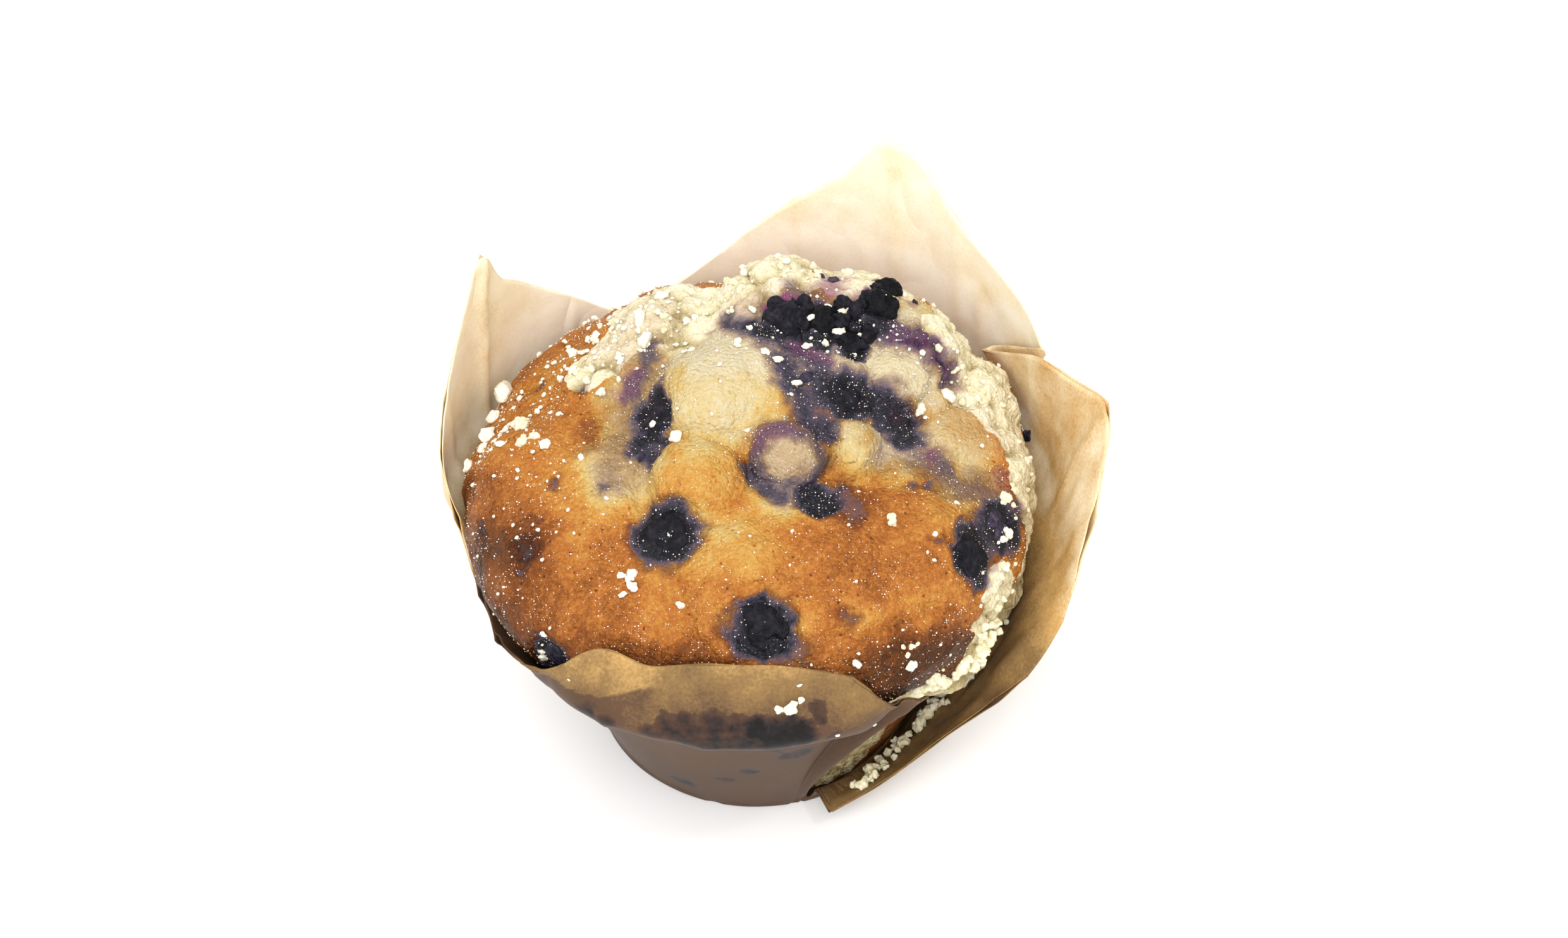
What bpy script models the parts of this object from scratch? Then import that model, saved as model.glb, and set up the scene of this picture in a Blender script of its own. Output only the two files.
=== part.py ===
"""A blueberry muffin in its tulip baking case.

The case is one square of baking paper, pressed into a cup so that its edge stands up in petals. At the
back right two of its folds part and overlap, and at the front right it has split down to its foot and
leans away from the muffin. The muffin fills the cup, its crown rolls out over the cup's wall, and whole
berries sit in pockets in the crown.

Lengths are in millimetres, and are turned to metres where a mesh is written. The origin is the middle of the
case's base, the front is -Y, and bearings are degrees anticlockwise from +X.
"""

import math

import bpy
import bmesh
import numpy as np
from mathutils import Matrix, Vector

MM = 0.001  # metres

# Case
PAPER = 0.3
BASE_RADIUS = 26.0
HEEL_RISE = 1.6
HEEL_OUT = 0.9
WAIST_RADIUS = 37.6
WAIST_HEIGHT = 33.0
KNEE_HEIGHT = 44.0
KNEE_CLEARANCE = 1.6
BASE_RINGS = (14.0,)
COLUMN_STEP = 4.6  # mean of the distances along the case's edge and foot
ROW_PARTS = (2, 2, 3)  # rows from heel to waist, from waist to knee and from knee to edge
WAIST_SHARE = 0.6  # where the edge is low, the waist and the knee lie at these shares of its height
KNEE_SHARE = 0.85
CASE_SMOOTH_ANGLE = 50.0
PAPER_COLOUR = (0.62, 0.42, 0.22)
PAPER_ROUGHNESS = 0.7

# Muffin
CLEARANCE = 0.45
CORE = np.array([0.0, 0.0, 42.0])  # every direction of the muffin's surface is seen from this point
MERIDIANS = 64
PARALLELS = 32
LUMPS_START = 0.2  # height over the core, per distance from it, at which the lumps come in fully
BLEND = 1.2  # width over which one lump runs into the next
FLOOR_BEVEL = 0.8
MUFFIN_SMOOTH_ANGLE = 60.0
BATTER_COLOUR = (0.53, 0.22, 0.05)
BATTER_ROUGHNESS = 0.6

# Radius of the crown's widest line, every 15 degrees from +X
CROWN_REACH = [
    *(43.8, 44.0, 43.8, 43.4, 43.0, 43.0, 43.2, 43.2),
    *(43.2, 43.6, 44.0, 44.7, 45.2, 44.0, 43.5, 43.6),
    *(43.8, 43.6, 43.4, 43.2, 43.0, 43.0, 43.4, 43.6),
]

# Berries
POCKET_GAP = 0.35
BERRY_RINGS = 6
BERRY_SEGMENTS = 9
BERRY_SMOOTH_ANGLE = 60.0
SKIN_COLOUR = (0.03, 0.03, 0.05)
SKIN_ROUGHNESS = 0.3


def polar(bearing, reach, height):
    """Point at a bearing, at a distance from the axis and at a height."""
    a = np.radians(bearing)
    return np.array([reach * np.cos(a), reach * np.sin(a), height])


def crown_reach(bearing):
    """Radius of the crown's widest line."""
    stops = np.arange(len(CROWN_REACH) + 1) * 360 / len(CROWN_REACH)
    return np.interp(np.mod(bearing, 360), stops, CROWN_REACH + CROWN_REACH[:1])


# ---------------------------------------------------------------- muffin

# Outline of the crown from its top to its underside: share of the crown's reach, and height
CROWN_PROFILE = [
    (0.00, 62.4),
    (0.38, 61.2),
    (0.60, 59.2),
    (0.77, 57.4),
    (0.88, 55.0),
    (0.96, 51.6),
    (1.00, 46.8),
    (0.98, 42.6),
    (0.92, 39.6),
]

# Lumps of risen batter: middle and radius
LUMPS = {
    "mound": (3.0, 7.0, 43.5, 25.5),
    "big_pale": (-5.0, 3.0, 58.5, 11.0),
    "golden": (-7.5, -11.0, 54.5, 9.5),
    "round": (5.5, -6.5, 60.8, 6.3),
    "small_yellow": (14.5, -4.0, 58.0, 5.6),
    "pale_right": (22.0, 9.5, 58.0, 7.5),
    "top_ridge": (5.0, 20.5, 58.0, 13.5),
    "high_ridge": (14.0, 20.0, 57.5, 12.5),
    "right_ridge": (21.5, 17.0, 55.5, 12.5),
    "left_ridge": (-13.0, 20.5, 53.0, 13.0),
    "left_face": (-21.0, 9.5, 52.0, 12.0),
    "torn_back": (31.0, 13.0, 49.5, 10.5),
    "torn_side": (34.0, 0.0, 48.0, 9.5),
    "front_hump": (-2.0, -25.0, 43.5, 17.0),
    "left_front_hump": (-21.0, -20.0, 43.5, 14.5),
    "left_hump": (-30.0, -2.0, 45.5, 14.2),
    "right_hump": (22.0, -17.0, 44.0, 16.0),
}

# Lumps of the torn side that hang below the crown where the paper stands off
SAGS = {
    "right": (31.5, -10.0, 39.0, 10.3),
    "front_right": (26.5, -21.0, 38.5, 10.2),
}


def smooth_larger(a, b, width):
    """The larger of two lengths, rounded where they cross."""
    h = np.clip(0.5 + 0.5 * (a - b) / width, 0, 1)
    return b + (a - b) * h + width * h * (1 - h) / 2


def outline(bearing):
    """The muffin's outline at one bearing, as radius and height over the core, from top to bottom."""
    reach = crown_reach(bearing)
    crown = [(share * reach, z) for share, z in CROWN_PROFILE]
    inset = CLEARANCE + PAPER
    floor = PAPER + CLEARANCE
    cup = [
        (WAIST_RADIUS - inset, WAIST_HEIGHT),
        (BASE_RADIUS + HEEL_OUT - inset, HEEL_RISE + CLEARANCE),
        (BASE_RADIUS - inset - FLOOR_BEVEL, floor),
        (0.0, floor),
    ]
    return np.array(crown + cup) - (0, CORE[2])


def outline_distance(directions):
    """Distance from the core to the plain outline in each direction."""
    found = np.zeros(len(directions))
    for i, d in enumerate(directions):
        line = outline(math.degrees(math.atan2(d[1], d[0])))
        out, up = math.hypot(d[0], d[1]), d[2]
        start = line[:-1]
        edge = line[1:] - start
        across = out * edge[:, 1] - up * edge[:, 0]
        across[np.abs(across) < 1e-9] = 1e-9
        distance = (start[:, 0] * edge[:, 1] - start[:, 1] * edge[:, 0]) / across
        along = (start[:, 0] * up - start[:, 1] * out) / across
        hit = (along > -1e-6) & (along < 1 + 1e-6) & (distance > 0)
        found[i] = distance[hit].max()
    return found


def with_lumps(distance, directions, lumps):
    """The distances, made longer where a lump stands out further."""
    for *place, radius in lumps.values():
        middle = np.array(place) - CORE
        nearest = directions @ middle
        inside = nearest**2 - middle @ middle + radius**2
        lump = nearest + np.sqrt(np.maximum(inside, 0))
        merged = smooth_larger(lump, distance, BLEND)
        distance = np.where(inside > 0, merged, distance)
    return distance


def muffin_distance(directions):
    """Distance from the core to the muffin's surface in each direction, lumps included."""
    plain = outline_distance(directions)
    risen = with_lumps(plain, directions, LUMPS)
    start = np.clip(directions[:, 2] / LUMPS_START, 0, 1)
    distance = plain + (risen - plain) * start**2 * (3 - 2 * start)
    distance = with_lumps(distance, directions, SAGS)
    bearings = np.degrees(np.arctan2(directions[:, 1], directions[:, 0]))
    across = np.maximum(np.hypot(directions[:, 0], directions[:, 1]), 1e-6)
    return np.minimum(distance, crown_reach(bearings) / across)


def add_object(name, mesh, group):
    """An object that shows the mesh, in the group."""
    body = bpy.data.objects.new(name, mesh)
    group.objects.link(body)
    return body


def shade_soft(mesh, angle):
    """Smooth shading, with sharp edges where faces meet at more than the angle."""
    mesh.shade_smooth()
    mesh.set_sharp_from_angle(angle=math.radians(angle))


def add_muffin(group):
    """A sphere pulled out to the muffin's surface, direction by direction."""
    bm = bmesh.new()
    bmesh.ops.create_uvsphere(bm, u_segments=MERIDIANS, v_segments=PARALLELS, radius=1.0)
    directions = np.array([v.co.normalized() for v in bm.verts])
    points = CORE + directions * muffin_distance(directions)[:, None]
    for vert, point in zip(bm.verts, points):
        vert.co = Vector(point) * MM
    mesh = bpy.data.meshes.new("muffin")
    bm.to_mesh(mesh)
    bm.free()
    shade_soft(mesh, MUFFIN_SMOOTH_ANGLE)
    return add_object("muffin", mesh, group)


# ---------------------------------------------------------------- case

# The case's edge, anticlockwise from the tip at the foot of the split to the split's other side. Each point
# has its bearing at the foot; the bearing, distance from the axis and height of the edge; how far the paper
# stands off the muffin at the waist and at the knee; and how late it turns from the one bearing to the other.
EDGE = [
    # Right side of the split, opening outwards as it rises
    (-72.0, -70, 33.8, 5.6, 2.6, 3.8, 0.4),
    (-66, -65, 34.8, 8.2, 2.4, 3.8, 1.0),
    (-60, -57, 36.2, 11.6, 3.0, 4.8, 1.0),
    (-53, -49, 38.2, 16.0, 4.0, 5.6, 1.0),
    (-46, -42, 41.2, 21.6, 5.0, 6.4, 1.0),
    (-40, -36, 45.2, 27.2, 6.0, 7.6, 1.0),
    # Right petal, its corner at -2
    (-34, -31, 49.2, 33.0, 6.8, 8.2, 1.0),
    (-27, -26, 51.8, 43.0, 6.8, 7.6, 1.0),
    (-18, -18, 52.2, 53.0, 6.0, 5.8, 1.0),
    (-9, -9, 52.6, 61.0, 4.4, 4.4, 1.0),
    (-2, -2, 53.0, 65.6, 3.0, 3.4, 1.0),
    (4, 4, 50.6, 65.0, 1.8, 2.6, 1.0),
    (9, 10, 47.8, 64.0, 1.2, 1.8, 1.0),
    (13, 16, 45.6, 63.0, 0.7, 0.8, 1.0),
    # Folds that overlap: forwards over the back petal, back again, and forwards behind it
    (16, 24, 45.2, 58.6, 0.5, 0.5, 2.5),
    (18, 34, 45.0, 53.0, 0.4, 0.2, 5.0),
    (20.5, 34, 46.0, 53.4, 1.6, 1.5, 5.0),
    (23.5, 19, 46.8, 62.0, 2.6, 2.6, 5.0),
    (26, 19, 47.6, 61.6, 3.6, 3.6, 5.0),
    # Back petal, its tip at 61
    (31, 25, 47.6, 64.6, 3.0, 3.2, 2.5),
    (37, 34, 47.4, 67.6, 1.8, 2.6, 2.0),
    (45, 45, 46.8, 72.0, 0.8, 1.8, 1.0),
    (53, 53, 46.6, 78.6, 0.4, 1.6, 1.0),
    (58, 58, 46.6, 82.2, 0.4, 1.6, 1.0),
    (64, 64, 46.6, 82.4, 0.4, 1.6, 1.0),
    (72, 72, 46.4, 74.2, 0.4, 1.5, 1.0),
    (82, 82, 46.2, 67.6, 0.4, 1.2, 1.0),
    (92, 92, 45.6, 61.0, 0.3, 0.8, 1.0),
    (102, 102, 45.0, 54.6, 0.2, 0.4, 1.0),
    (112, 112, 44.8, 50.6, 0.2, 0.2, 1.0),
    (121, 121, 45.2, 50.0, 0.2, 0.2, 1.0),
    # Left petal, its tip at 156
    (132, 132, 45.6, 57.4, 0.4, 0.6, 1.0),
    (142, 142, 45.6, 64.8, 0.6, 1.0, 1.0),
    (151, 151, 45.0, 72.0, 0.8, 1.4, 1.0),
    (156, 156, 44.8, 78.6, 0.9, 1.6, 1.0),
    (161, 161, 46.0, 72.0, 0.9, 1.6, 1.0),
    (170, 170, 47.6, 61.0, 0.8, 1.0, 1.0),
    (180, 180, 47.6, 53.5, 0.6, 0.4, 1.0),
    (190, 190, 45.4, 46.5, 0.4, -0.2, 1.0),
    (200, 200, 44.6, 42.5, 0.3, -0.3, 1.0),
    # Low left side, and the front petal with a blunt tip at 262
    (209, 209, 44.8, 41.5, 0.3, 0.1, 1.0),
    (216, 216, 45.8, 42.0, 0.4, 1.0, 1.0),
    (226, 226, 46.2, 44.5, 0.6, 2.0, 1.0),
    (234, 234, 45.0, 49.5, 0.8, 2.0, 1.0),
    (241, 241, 43.2, 54.5, 0.8, 2.0, 1.0),
    (249, 249, 42.8, 53.8, 0.8, 2.0, 1.0),
    (262, 262, 42.6, 56.4, 0.8, 2.2, 1.0),
    (274, 277, 42.8, 56.4, 0.8, 2.2, 1.5),
    (280, 288, 43.6, 53.0, 0.8, 2.2, 1.5),
    # Left side of the split: a groove, a crest that leans over the gap, and a lip turned in
    (283.5, 296, 45.6, 45.8, 0.6, 2.0, 1.8),
    (285, 299, 44.6, 44.4, 0.2, 0.0, 2.0),
    (286.5, 302, 45.8, 44.0, 3.0, 2.6, 2.2),
    (288, 305, 44.6, 42.0, 0.3, 0.3, 2.5),
]


def snug(bearing, height):
    """Radius at which the paper lies close to the muffin."""
    knee = crown_reach(bearing) + KNEE_CLEARANCE
    heel = BASE_RADIUS + HEEL_OUT
    return np.interp(
        height, (HEEL_RISE, WAIST_HEIGHT, KNEE_HEIGHT), (heel, WAIST_RADIUS, knee)
    )


def through(points, steps):
    """Smooth curve through points, sampled at steps that count from one point to the next."""
    points = np.asarray(points, float)
    padded = np.vstack([2 * points[0] - points[1], points, 2 * points[-1] - points[-2]])
    at = np.clip(np.floor(steps).astype(int), 0, len(points) - 2)
    t = (steps - at)[:, None]
    p0, p1, p2, p3 = (padded[at + k] for k in range(4))
    bend = (2 * p0 - 5 * p1 + 4 * p2 - p3) * t**2 + (3 * p1 - p0 - 3 * p2 + p3) * t**3
    return 0.5 * (2 * p1 + (p2 - p0) * t + bend)


def case_column(foot, bearing, reach, height, waist_out, knee_out, late):
    """Points from the heel up to the edge."""
    waist = min(WAIST_HEIGHT, WAIST_SHARE * height)
    knee = min(KNEE_HEIGHT, KNEE_SHARE * height)
    levels = [
        (BASE_RADIUS + HEEL_OUT, HEEL_RISE),
        (snug(bearing, waist) + waist_out, waist),
        (snug(bearing, knee) + knee_out, knee),
        (reach, height),
    ]
    steps = [k + part / parts for k, parts in enumerate(ROW_PARTS) for part in range(parts)]
    line = through(levels, np.array(steps + [len(ROW_PARTS)]))
    share = np.clip((line[:, 1] - HEEL_RISE) / (height - HEEL_RISE), 0, 1)
    return [polar(foot + (bearing - foot) * s**late, r, z) for s, (r, z) in zip(share, line)]


def case_columns():
    """Settings of every column: those of EDGE, and some between where the paper is wide at top and foot."""
    edge = np.array(EDGE)
    tops = polar(edge[:, 1], edge[:, 2], edge[:, 3]).T
    feet = polar(edge[:, 0], BASE_RADIUS, 0 * edge[:, 0]).T
    spans = sum(np.linalg.norm(np.diff(ends, axis=0), axis=1) for ends in (tops, feet)) / 2
    steps = []
    for i, span in enumerate(spans):
        parts = max(1, round(span / COLUMN_STEP))
        steps.extend(i + part / parts for part in range(parts))
    return through(edge, np.array(steps + [len(spans)]))


def add_case(group):
    """The paper, one column after another; the first and the last column share the base up to the heel."""
    bm = bmesh.new()
    centre = bm.verts.new((0, 0, 0))
    columns = case_columns()
    grid = []
    for settings in columns:
        foot = settings[0]
        base = [polar(foot, r, 0.0) for r in BASE_RINGS] + [polar(foot, BASE_RADIUS, 0.0)]
        points = base + case_column(*settings)
        shared = len(base) + 1 if len(grid) == len(columns) - 1 else 0
        fresh = [bm.verts.new(Vector(p) * MM) for p in points[shared:]]
        grid.append((grid[0][:shared] if shared else []) + fresh)
    for left, right in zip(grid, grid[1:]):
        bm.faces.new((centre, right[0], left[0]))
        for row in range(len(left) - 1):
            bm.faces.new((left[row], right[row], right[row + 1], left[row + 1]))
    mesh = bpy.data.meshes.new("paper_case")
    bm.to_mesh(mesh)
    bm.free()
    shade_soft(mesh, CASE_SMOOTH_ANGLE)
    case = add_object("paper_case", mesh, group)
    wall = case.modifiers.new("Wall", "SOLIDIFY")
    wall.thickness = PAPER * MM
    wall.offset = -1
    wall.use_even_offset = False
    return case


# ---------------------------------------------------------------- berries

# Direction from the core: bearing and elevation; radius; how far the middle lies under the surface, as a
# share of the radius; and height over width
BERRIES = {
    "berry_top_1": (71.0, 62.0, 2.9, 0.3, 0.95),
    "berry_top_2": (54.0, 56.0, 2.7, 0.3, 0.95),
    "berry_top_3": (38.0, 53.0, 2.7, 0.4, 0.95),
    "berry_top_4": (43.0, 45.5, 2.8, 0.3, 0.95),
    "berry_top_5": (49.0, 38.0, 2.3, 0.35, 0.9),
    "berry_middle": (8.0, 58.0, 3.6, 0.6, 0.8),
    "berry_middle_right": (3.0, 41.0, 3.0, 0.55, 0.85),
    "berry_left": (181.0, 57.0, 3.9, 0.55, 0.85),
    "berry_front_left": (240.0, 34.0, 4.7, 0.45, 0.85),
    "berry_front": (273.0, 20.5, 4.3, 0.45, 0.9),
    "berry_right": (326.0, 18.5, 3.8, 0.45, 0.9),
    "berry_right_edge": (339.0, 15.5, 3.3, 0.5, 0.9),
    "berry_crease": (301.0, 43.0, 3.2, 0.65, 0.85),
    "berry_left_foot": (229.0, 5.0, 3.8, 0.6, 0.85),
}


def direction(bearing, elevation):
    """Unit vector at a bearing and an elevation."""
    e = math.radians(elevation)
    return polar(bearing, math.cos(e), math.sin(e))


def add_berry(name, bearing, elevation, radius, sunk, squash, group, cutters, muffin):
    """A squashed ball sunk in the crown, and the pocket that it lies in."""
    outward = direction(bearing, elevation)
    surface = muffin_distance(outward[None, :])[0]
    middle = CORE + outward * (surface - sunk * radius)
    turn = Vector(outward).to_track_quat("Z", "Y").to_matrix().to_4x4()
    for grown, owner in ((0.0, group), (POCKET_GAP, cutters)):
        across = (radius + grown) * MM
        deep = (radius * squash + grown) * MM
        bm = bmesh.new()
        bmesh.ops.create_uvsphere(bm, u_segments=BERRY_SEGMENTS, v_segments=BERRY_RINGS, radius=1.0)
        bmesh.ops.scale(bm, vec=(across, across, deep), verts=bm.verts)
        mesh = bpy.data.meshes.new(name)
        bm.to_mesh(mesh)
        bm.free()
        shade_soft(mesh, BERRY_SMOOTH_ANGLE)
        ball = add_object(name if owner is group else name + "_pocket", mesh, owner)
        ball.matrix_world = Matrix.Translation(Vector(middle) * MM) @ turn
        if owner is cutters:
            ball.hide_render = True
            ball.display_type = "WIRE"
            cut = muffin.modifiers.new(name, "BOOLEAN")
            cut.operation = "DIFFERENCE"
            cut.object = ball
        else:
            berry = ball
    return berry


# ---------------------------------------------------------------- model


def paint(body, name, colour, roughness):
    """A plain Principled material in the part's own colour, given as linear red, green and blue."""
    material = bpy.data.materials.new(name)
    material.use_nodes = True
    shader = material.node_tree.nodes["Principled BSDF"]
    shader.inputs["Base Color"].default_value = (*colour, 1.0)
    shader.inputs["Roughness"].default_value = roughness
    shader.inputs["Metallic"].default_value = 0.0
    body.data.materials.append(material)


def main():
    """Build the muffin, its case and its berries in an empty file."""
    for old in list(bpy.data.objects):
        bpy.data.objects.remove(old, do_unlink=True)
    group = bpy.data.collections.new("muffin")
    cutters = bpy.data.collections.new("cutters")
    bpy.context.scene.collection.children.link(group)
    bpy.context.scene.collection.children.link(cutters)
    muffin = add_muffin(group)
    paint(muffin, "baked_batter", BATTER_COLOUR, BATTER_ROUGHNESS)
    case = add_case(group)
    paint(case, "baking_paper", PAPER_COLOUR, PAPER_ROUGHNESS)
    for name, settings in BERRIES.items():
        berry = add_berry(name, *settings, group, cutters, muffin)
        paint(berry, name + "_skin", SKIN_COLOUR, SKIN_ROUGHNESS)


main()
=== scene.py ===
import math
import bpy
import bmesh
import numpy as np
from mathutils import Matrix, Vector, noise
from mathutils.bvhtree import BVHTree


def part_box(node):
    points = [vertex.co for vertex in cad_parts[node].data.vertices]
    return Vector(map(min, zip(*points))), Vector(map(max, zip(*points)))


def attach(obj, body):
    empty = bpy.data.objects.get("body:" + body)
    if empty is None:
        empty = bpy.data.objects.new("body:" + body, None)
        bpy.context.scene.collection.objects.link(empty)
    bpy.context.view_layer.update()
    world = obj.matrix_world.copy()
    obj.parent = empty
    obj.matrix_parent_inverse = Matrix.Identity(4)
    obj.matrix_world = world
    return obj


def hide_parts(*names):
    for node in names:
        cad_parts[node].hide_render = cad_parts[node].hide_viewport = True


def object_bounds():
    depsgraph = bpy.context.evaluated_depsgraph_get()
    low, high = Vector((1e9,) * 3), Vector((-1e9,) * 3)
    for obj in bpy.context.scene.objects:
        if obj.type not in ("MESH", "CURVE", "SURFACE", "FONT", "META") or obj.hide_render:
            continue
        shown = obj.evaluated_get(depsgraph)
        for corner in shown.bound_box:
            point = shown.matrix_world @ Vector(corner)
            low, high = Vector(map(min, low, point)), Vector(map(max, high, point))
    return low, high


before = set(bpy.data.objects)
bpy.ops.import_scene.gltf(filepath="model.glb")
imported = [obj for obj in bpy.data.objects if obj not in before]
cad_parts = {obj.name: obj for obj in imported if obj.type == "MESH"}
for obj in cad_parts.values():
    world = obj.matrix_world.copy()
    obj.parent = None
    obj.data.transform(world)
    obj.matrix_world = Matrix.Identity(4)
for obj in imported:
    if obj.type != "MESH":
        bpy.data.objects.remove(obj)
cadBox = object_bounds()
mm = 0.001  # lengths below are in millimetres, meshes are in metres
outside = 0.1  # in metres: further out than anything, for rays that look inwards
core = np.array([0.0, 0.0, 42.0])  # the crown's middle: bearings and elevations are seen from here
print("frame loaded")


def pickOnly(*pieces):
    bpy.ops.object.select_all(action="DESELECT")
    for piece in pieces:
        piece.select_set(True)
    bpy.context.view_layer.objects.active = pieces[0]


def useModifier(piece, kind, **settings):
    pickOnly(piece)
    modifier = piece.modifiers.new(kind, kind)
    for key, value in settings.items():
        setattr(modifier, key, value)
    bpy.ops.object.modifier_apply(modifier=modifier.name)


def copyNode(node, name):
    piece = bpy.data.objects.new(name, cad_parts[node].data.copy())
    bpy.context.scene.collection.objects.link(piece)
    piece.data.materials.clear()
    pickOnly(piece)
    bpy.ops.object.mode_set(mode="EDIT")
    bpy.ops.mesh.select_all(action="SELECT")
    bpy.ops.mesh.remove_doubles(threshold=0.00001)
    bpy.ops.object.mode_set(mode="OBJECT")
    return piece


def readVectors(collection, key):
    flat = np.empty(len(collection) * 3)
    collection.foreach_get(key, flat)
    return flat.reshape(-1, 3)


def readPoints(piece):
    return readVectors(piece.data.vertices, "co") / mm


def writePoints(piece, points):
    piece.data.vertices.foreach_set("co", (points * mm).ravel())
    piece.data.update()


def readNormals(piece):
    return readVectors(piece.data.vertex_normals, "vector")


def storeValues(piece, **values):
    # keeps a value for each corner, or one for all of them, for the materials to read
    for name, value in values.items():
        layer = piece.data.attributes.new(name, "FLOAT", "POINT")
        layer.data.foreach_set("value", np.full(len(piece.data.vertices), value, np.float32))


def fade(low, high, value):
    t = np.clip((value - low) / (high - low), 0, 1)
    return t * t * (3 - 2 * t)


def rough(points, size, octaves=3, seed=0):
    # fractal noise with features of a size in mm, about -1 to 1
    shift = Vector((7.3, 3.1, 5.7)) * (seed + 1)
    scaled = (points / size).tolist()
    return np.array([noise.fractal(Vector(p) + shift, 1.0, 2.0, octaves) for p in scaled])


def clumps(points, size, seed=0):
    # rounded lumps of a size in mm, 1 at their tops and 0 in the gaps between them
    shift = Vector((2.9, 8.1, 4.3)) * (seed + 1)
    nearest = np.array([noise.voronoi(Vector(p) + shift)[0][0] for p in (points / size).tolist()])
    return np.sqrt(np.clip(1 - (nearest / 0.75) ** 2, 0, 1))


def relief(points, lumps, seed, middle):
    # lumps of several sizes and heights laid over each other
    return sum(height * (clumps(points, size, seed + i) - middle)
               for i, (size, height) in enumerate(lumps))


def waved(points, waves, seed):
    # noise of several sizes and heights laid over each other
    return sum(height * rough(points, size, 3, seed + i) for i, (size, height) in enumerate(waves))


def stir(points, size, reach, seed=0):
    # the points moved about by noise, so that what is measured from them gets ragged outlines
    moved = [rough(points, size, 3, seed + axis) for axis in range(3)]
    return points + reach * np.column_stack(moved)


def aim(bearing, elevation):
    b, e = math.radians(bearing), math.radians(elevation)
    return np.array([math.cos(e) * math.cos(b), math.cos(e) * math.sin(b), math.sin(e)])


def surfaceTree(piece):
    piece.data.calc_loop_triangles()
    triangles = [tuple(t.vertices) for t in piece.data.loop_triangles]
    return BVHTree.FromPolygons([v.co for v in piece.data.vertices], triangles)


def onCrown(bearing, elevation):
    # the point of the crown's surface at a bearing and an elevation, and which way it faces
    outward = Vector(aim(bearing, elevation))
    hit = crownTree.ray_cast(Vector(core) * mm + outward * outside, -outward)
    return np.array(hit[0]) / mm, np.array(hit[1])


def nearLine(points, start, end):
    along = end - start
    t = np.clip((points - start) @ along / (along @ along), 0, 1)
    return np.linalg.norm(points - start - t[:, None] * along, axis=1)


def nearPath(points, path):
    # distance from a line over the crown, or from a single place on it
    stops = [onCrown(*place)[0] for place in path]
    found = np.linalg.norm(points - stops[0], axis=1)
    for start, end in zip(stops, stops[1:]):
        found = np.minimum(found, nearLine(points, start, end))
    return found


def strokeValues(points, strokes, soft):
    # soft strokes over the crown: strength, half width, then the bearing and elevation of each stop
    return [strength * fade(1 + soft, 1 - soft, nearPath(points, path) / halfWidth)
            for strength, halfWidth, path in strokes]


def strongest(points, strokes, soft):
    return np.maximum.reduce(strokeValues(points, strokes, soft), initial=0)


def linear(hexColour):
    values = [int(hexColour[i:i + 2], 16) / 255 for i in (1, 3, 5)]
    return [*(v / 12.92 if v <= 0.04045 else ((v + 0.055) / 1.055) ** 2.4 for v in values), 1.0]


def addNode(tree, kind, settings=None, links=None, out=None):
    made = tree.nodes.new("ShaderNode" + kind)
    for key, value in (settings or {}).items():
        if key == "stops":
            ramp = made.color_ramp
            while len(ramp.elements) < len(value):
                ramp.elements.new(0.5)
            for element, (place, colour) in zip(ramp.elements, value):
                element.position = place
                element.color = linear(colour)
        elif isinstance(key, int) or key in made.inputs:
            made.inputs[key].default_value = value
        else:
            setattr(made, key, value)
    for key, source in (links or {}).items():
        tree.links.new(source, made.inputs[key])
    return made.outputs[out] if out else next(o for o in made.outputs if o.enabled)


def newMaterial(name, settings):
    # the material, its nodes and where a point lies on the piece
    material = bpy.data.materials.new(name)
    material.use_nodes = True
    tree = material.node_tree
    for key, value in settings.items():
        tree.nodes["Principled BSDF"].inputs[key].default_value = value
    return material, tree, addNode(tree, "TexCoord", out="Object")


def connect(tree, colour, roughness, height=None, strength=1.0, depth=0.0):
    # joins what was worked out to the shader: height is a relief of a depth in mm
    inputs = tree.nodes["Principled BSDF"].inputs
    tree.links.new(colour, inputs["Base Color"])
    tree.links.new(roughness, inputs["Roughness"])
    if height:
        settings = {"Strength": strength, "Distance": depth * mm}
        tree.links.new(addNode(tree, "Bump", settings, {"Height": height}), inputs["Normal"])


def finishPiece(piece, material, slot, *nodes, smooth=True):
    # gives the piece its material and body, and hides the nodes that it stands in for; the slot is
    # not used
    if smooth:
        pickOnly(piece)
        bpy.ops.object.shade_smooth()
    piece.data.materials.clear()
    piece.data.materials.append(material)
    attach(piece, "root")
    if nodes:
        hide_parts(*nodes)


berries = {
    # share of its height kept above the batter, swelling, wetness, violet, lumps,
    # and the calyx's tilt and bearing
    "berry_front_left": (0.42, 1.02, 0.25, 0.10, 0.20, (24, 200)),
    "berry_front": (0.42, 0.98, 0.25, 0.10, 0.20, (28, 90)),
    "berry_left": (0.32, 1.03, 0.90, 0.25, 0.20, None),
    "berry_middle": (0.30, 1.12, 0.90, 0.15, 0.16, None),
    "berry_middle_right": (0.55, 1.05, 0.90, 0.90, 0.16, None),
    "berry_crease": (0.15, 1.00, 0.60, 0.35, 0.18, None),
    "berry_right": (0.55, 1.02, 0.20, 0.10, 0.18, (26, 250)),
    "berry_right_edge": (0.22, 0.95, 0.35, 0.95, 0.24, None),
    "berry_left_foot": (0.35, 1.00, 0.40, 0.45, 0.18, None),
    "berry_top_1": (1.00, 1.22, 0.05, 0.20, 0.14, None),
    "berry_top_2": (1.05, 1.22, 0.05, 0.00, 0.14, (38, 270)),
    "berry_top_3": (1.05, 1.25, 0.05, 0.00, 0.16, None),
    "berry_top_4": (1.10, 1.20, 0.05, 0.00, 0.15, (40, 240)),
    "berry_top_5": (0.95, 1.10, 0.05, 0.00, 0.16, None),
}
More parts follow.
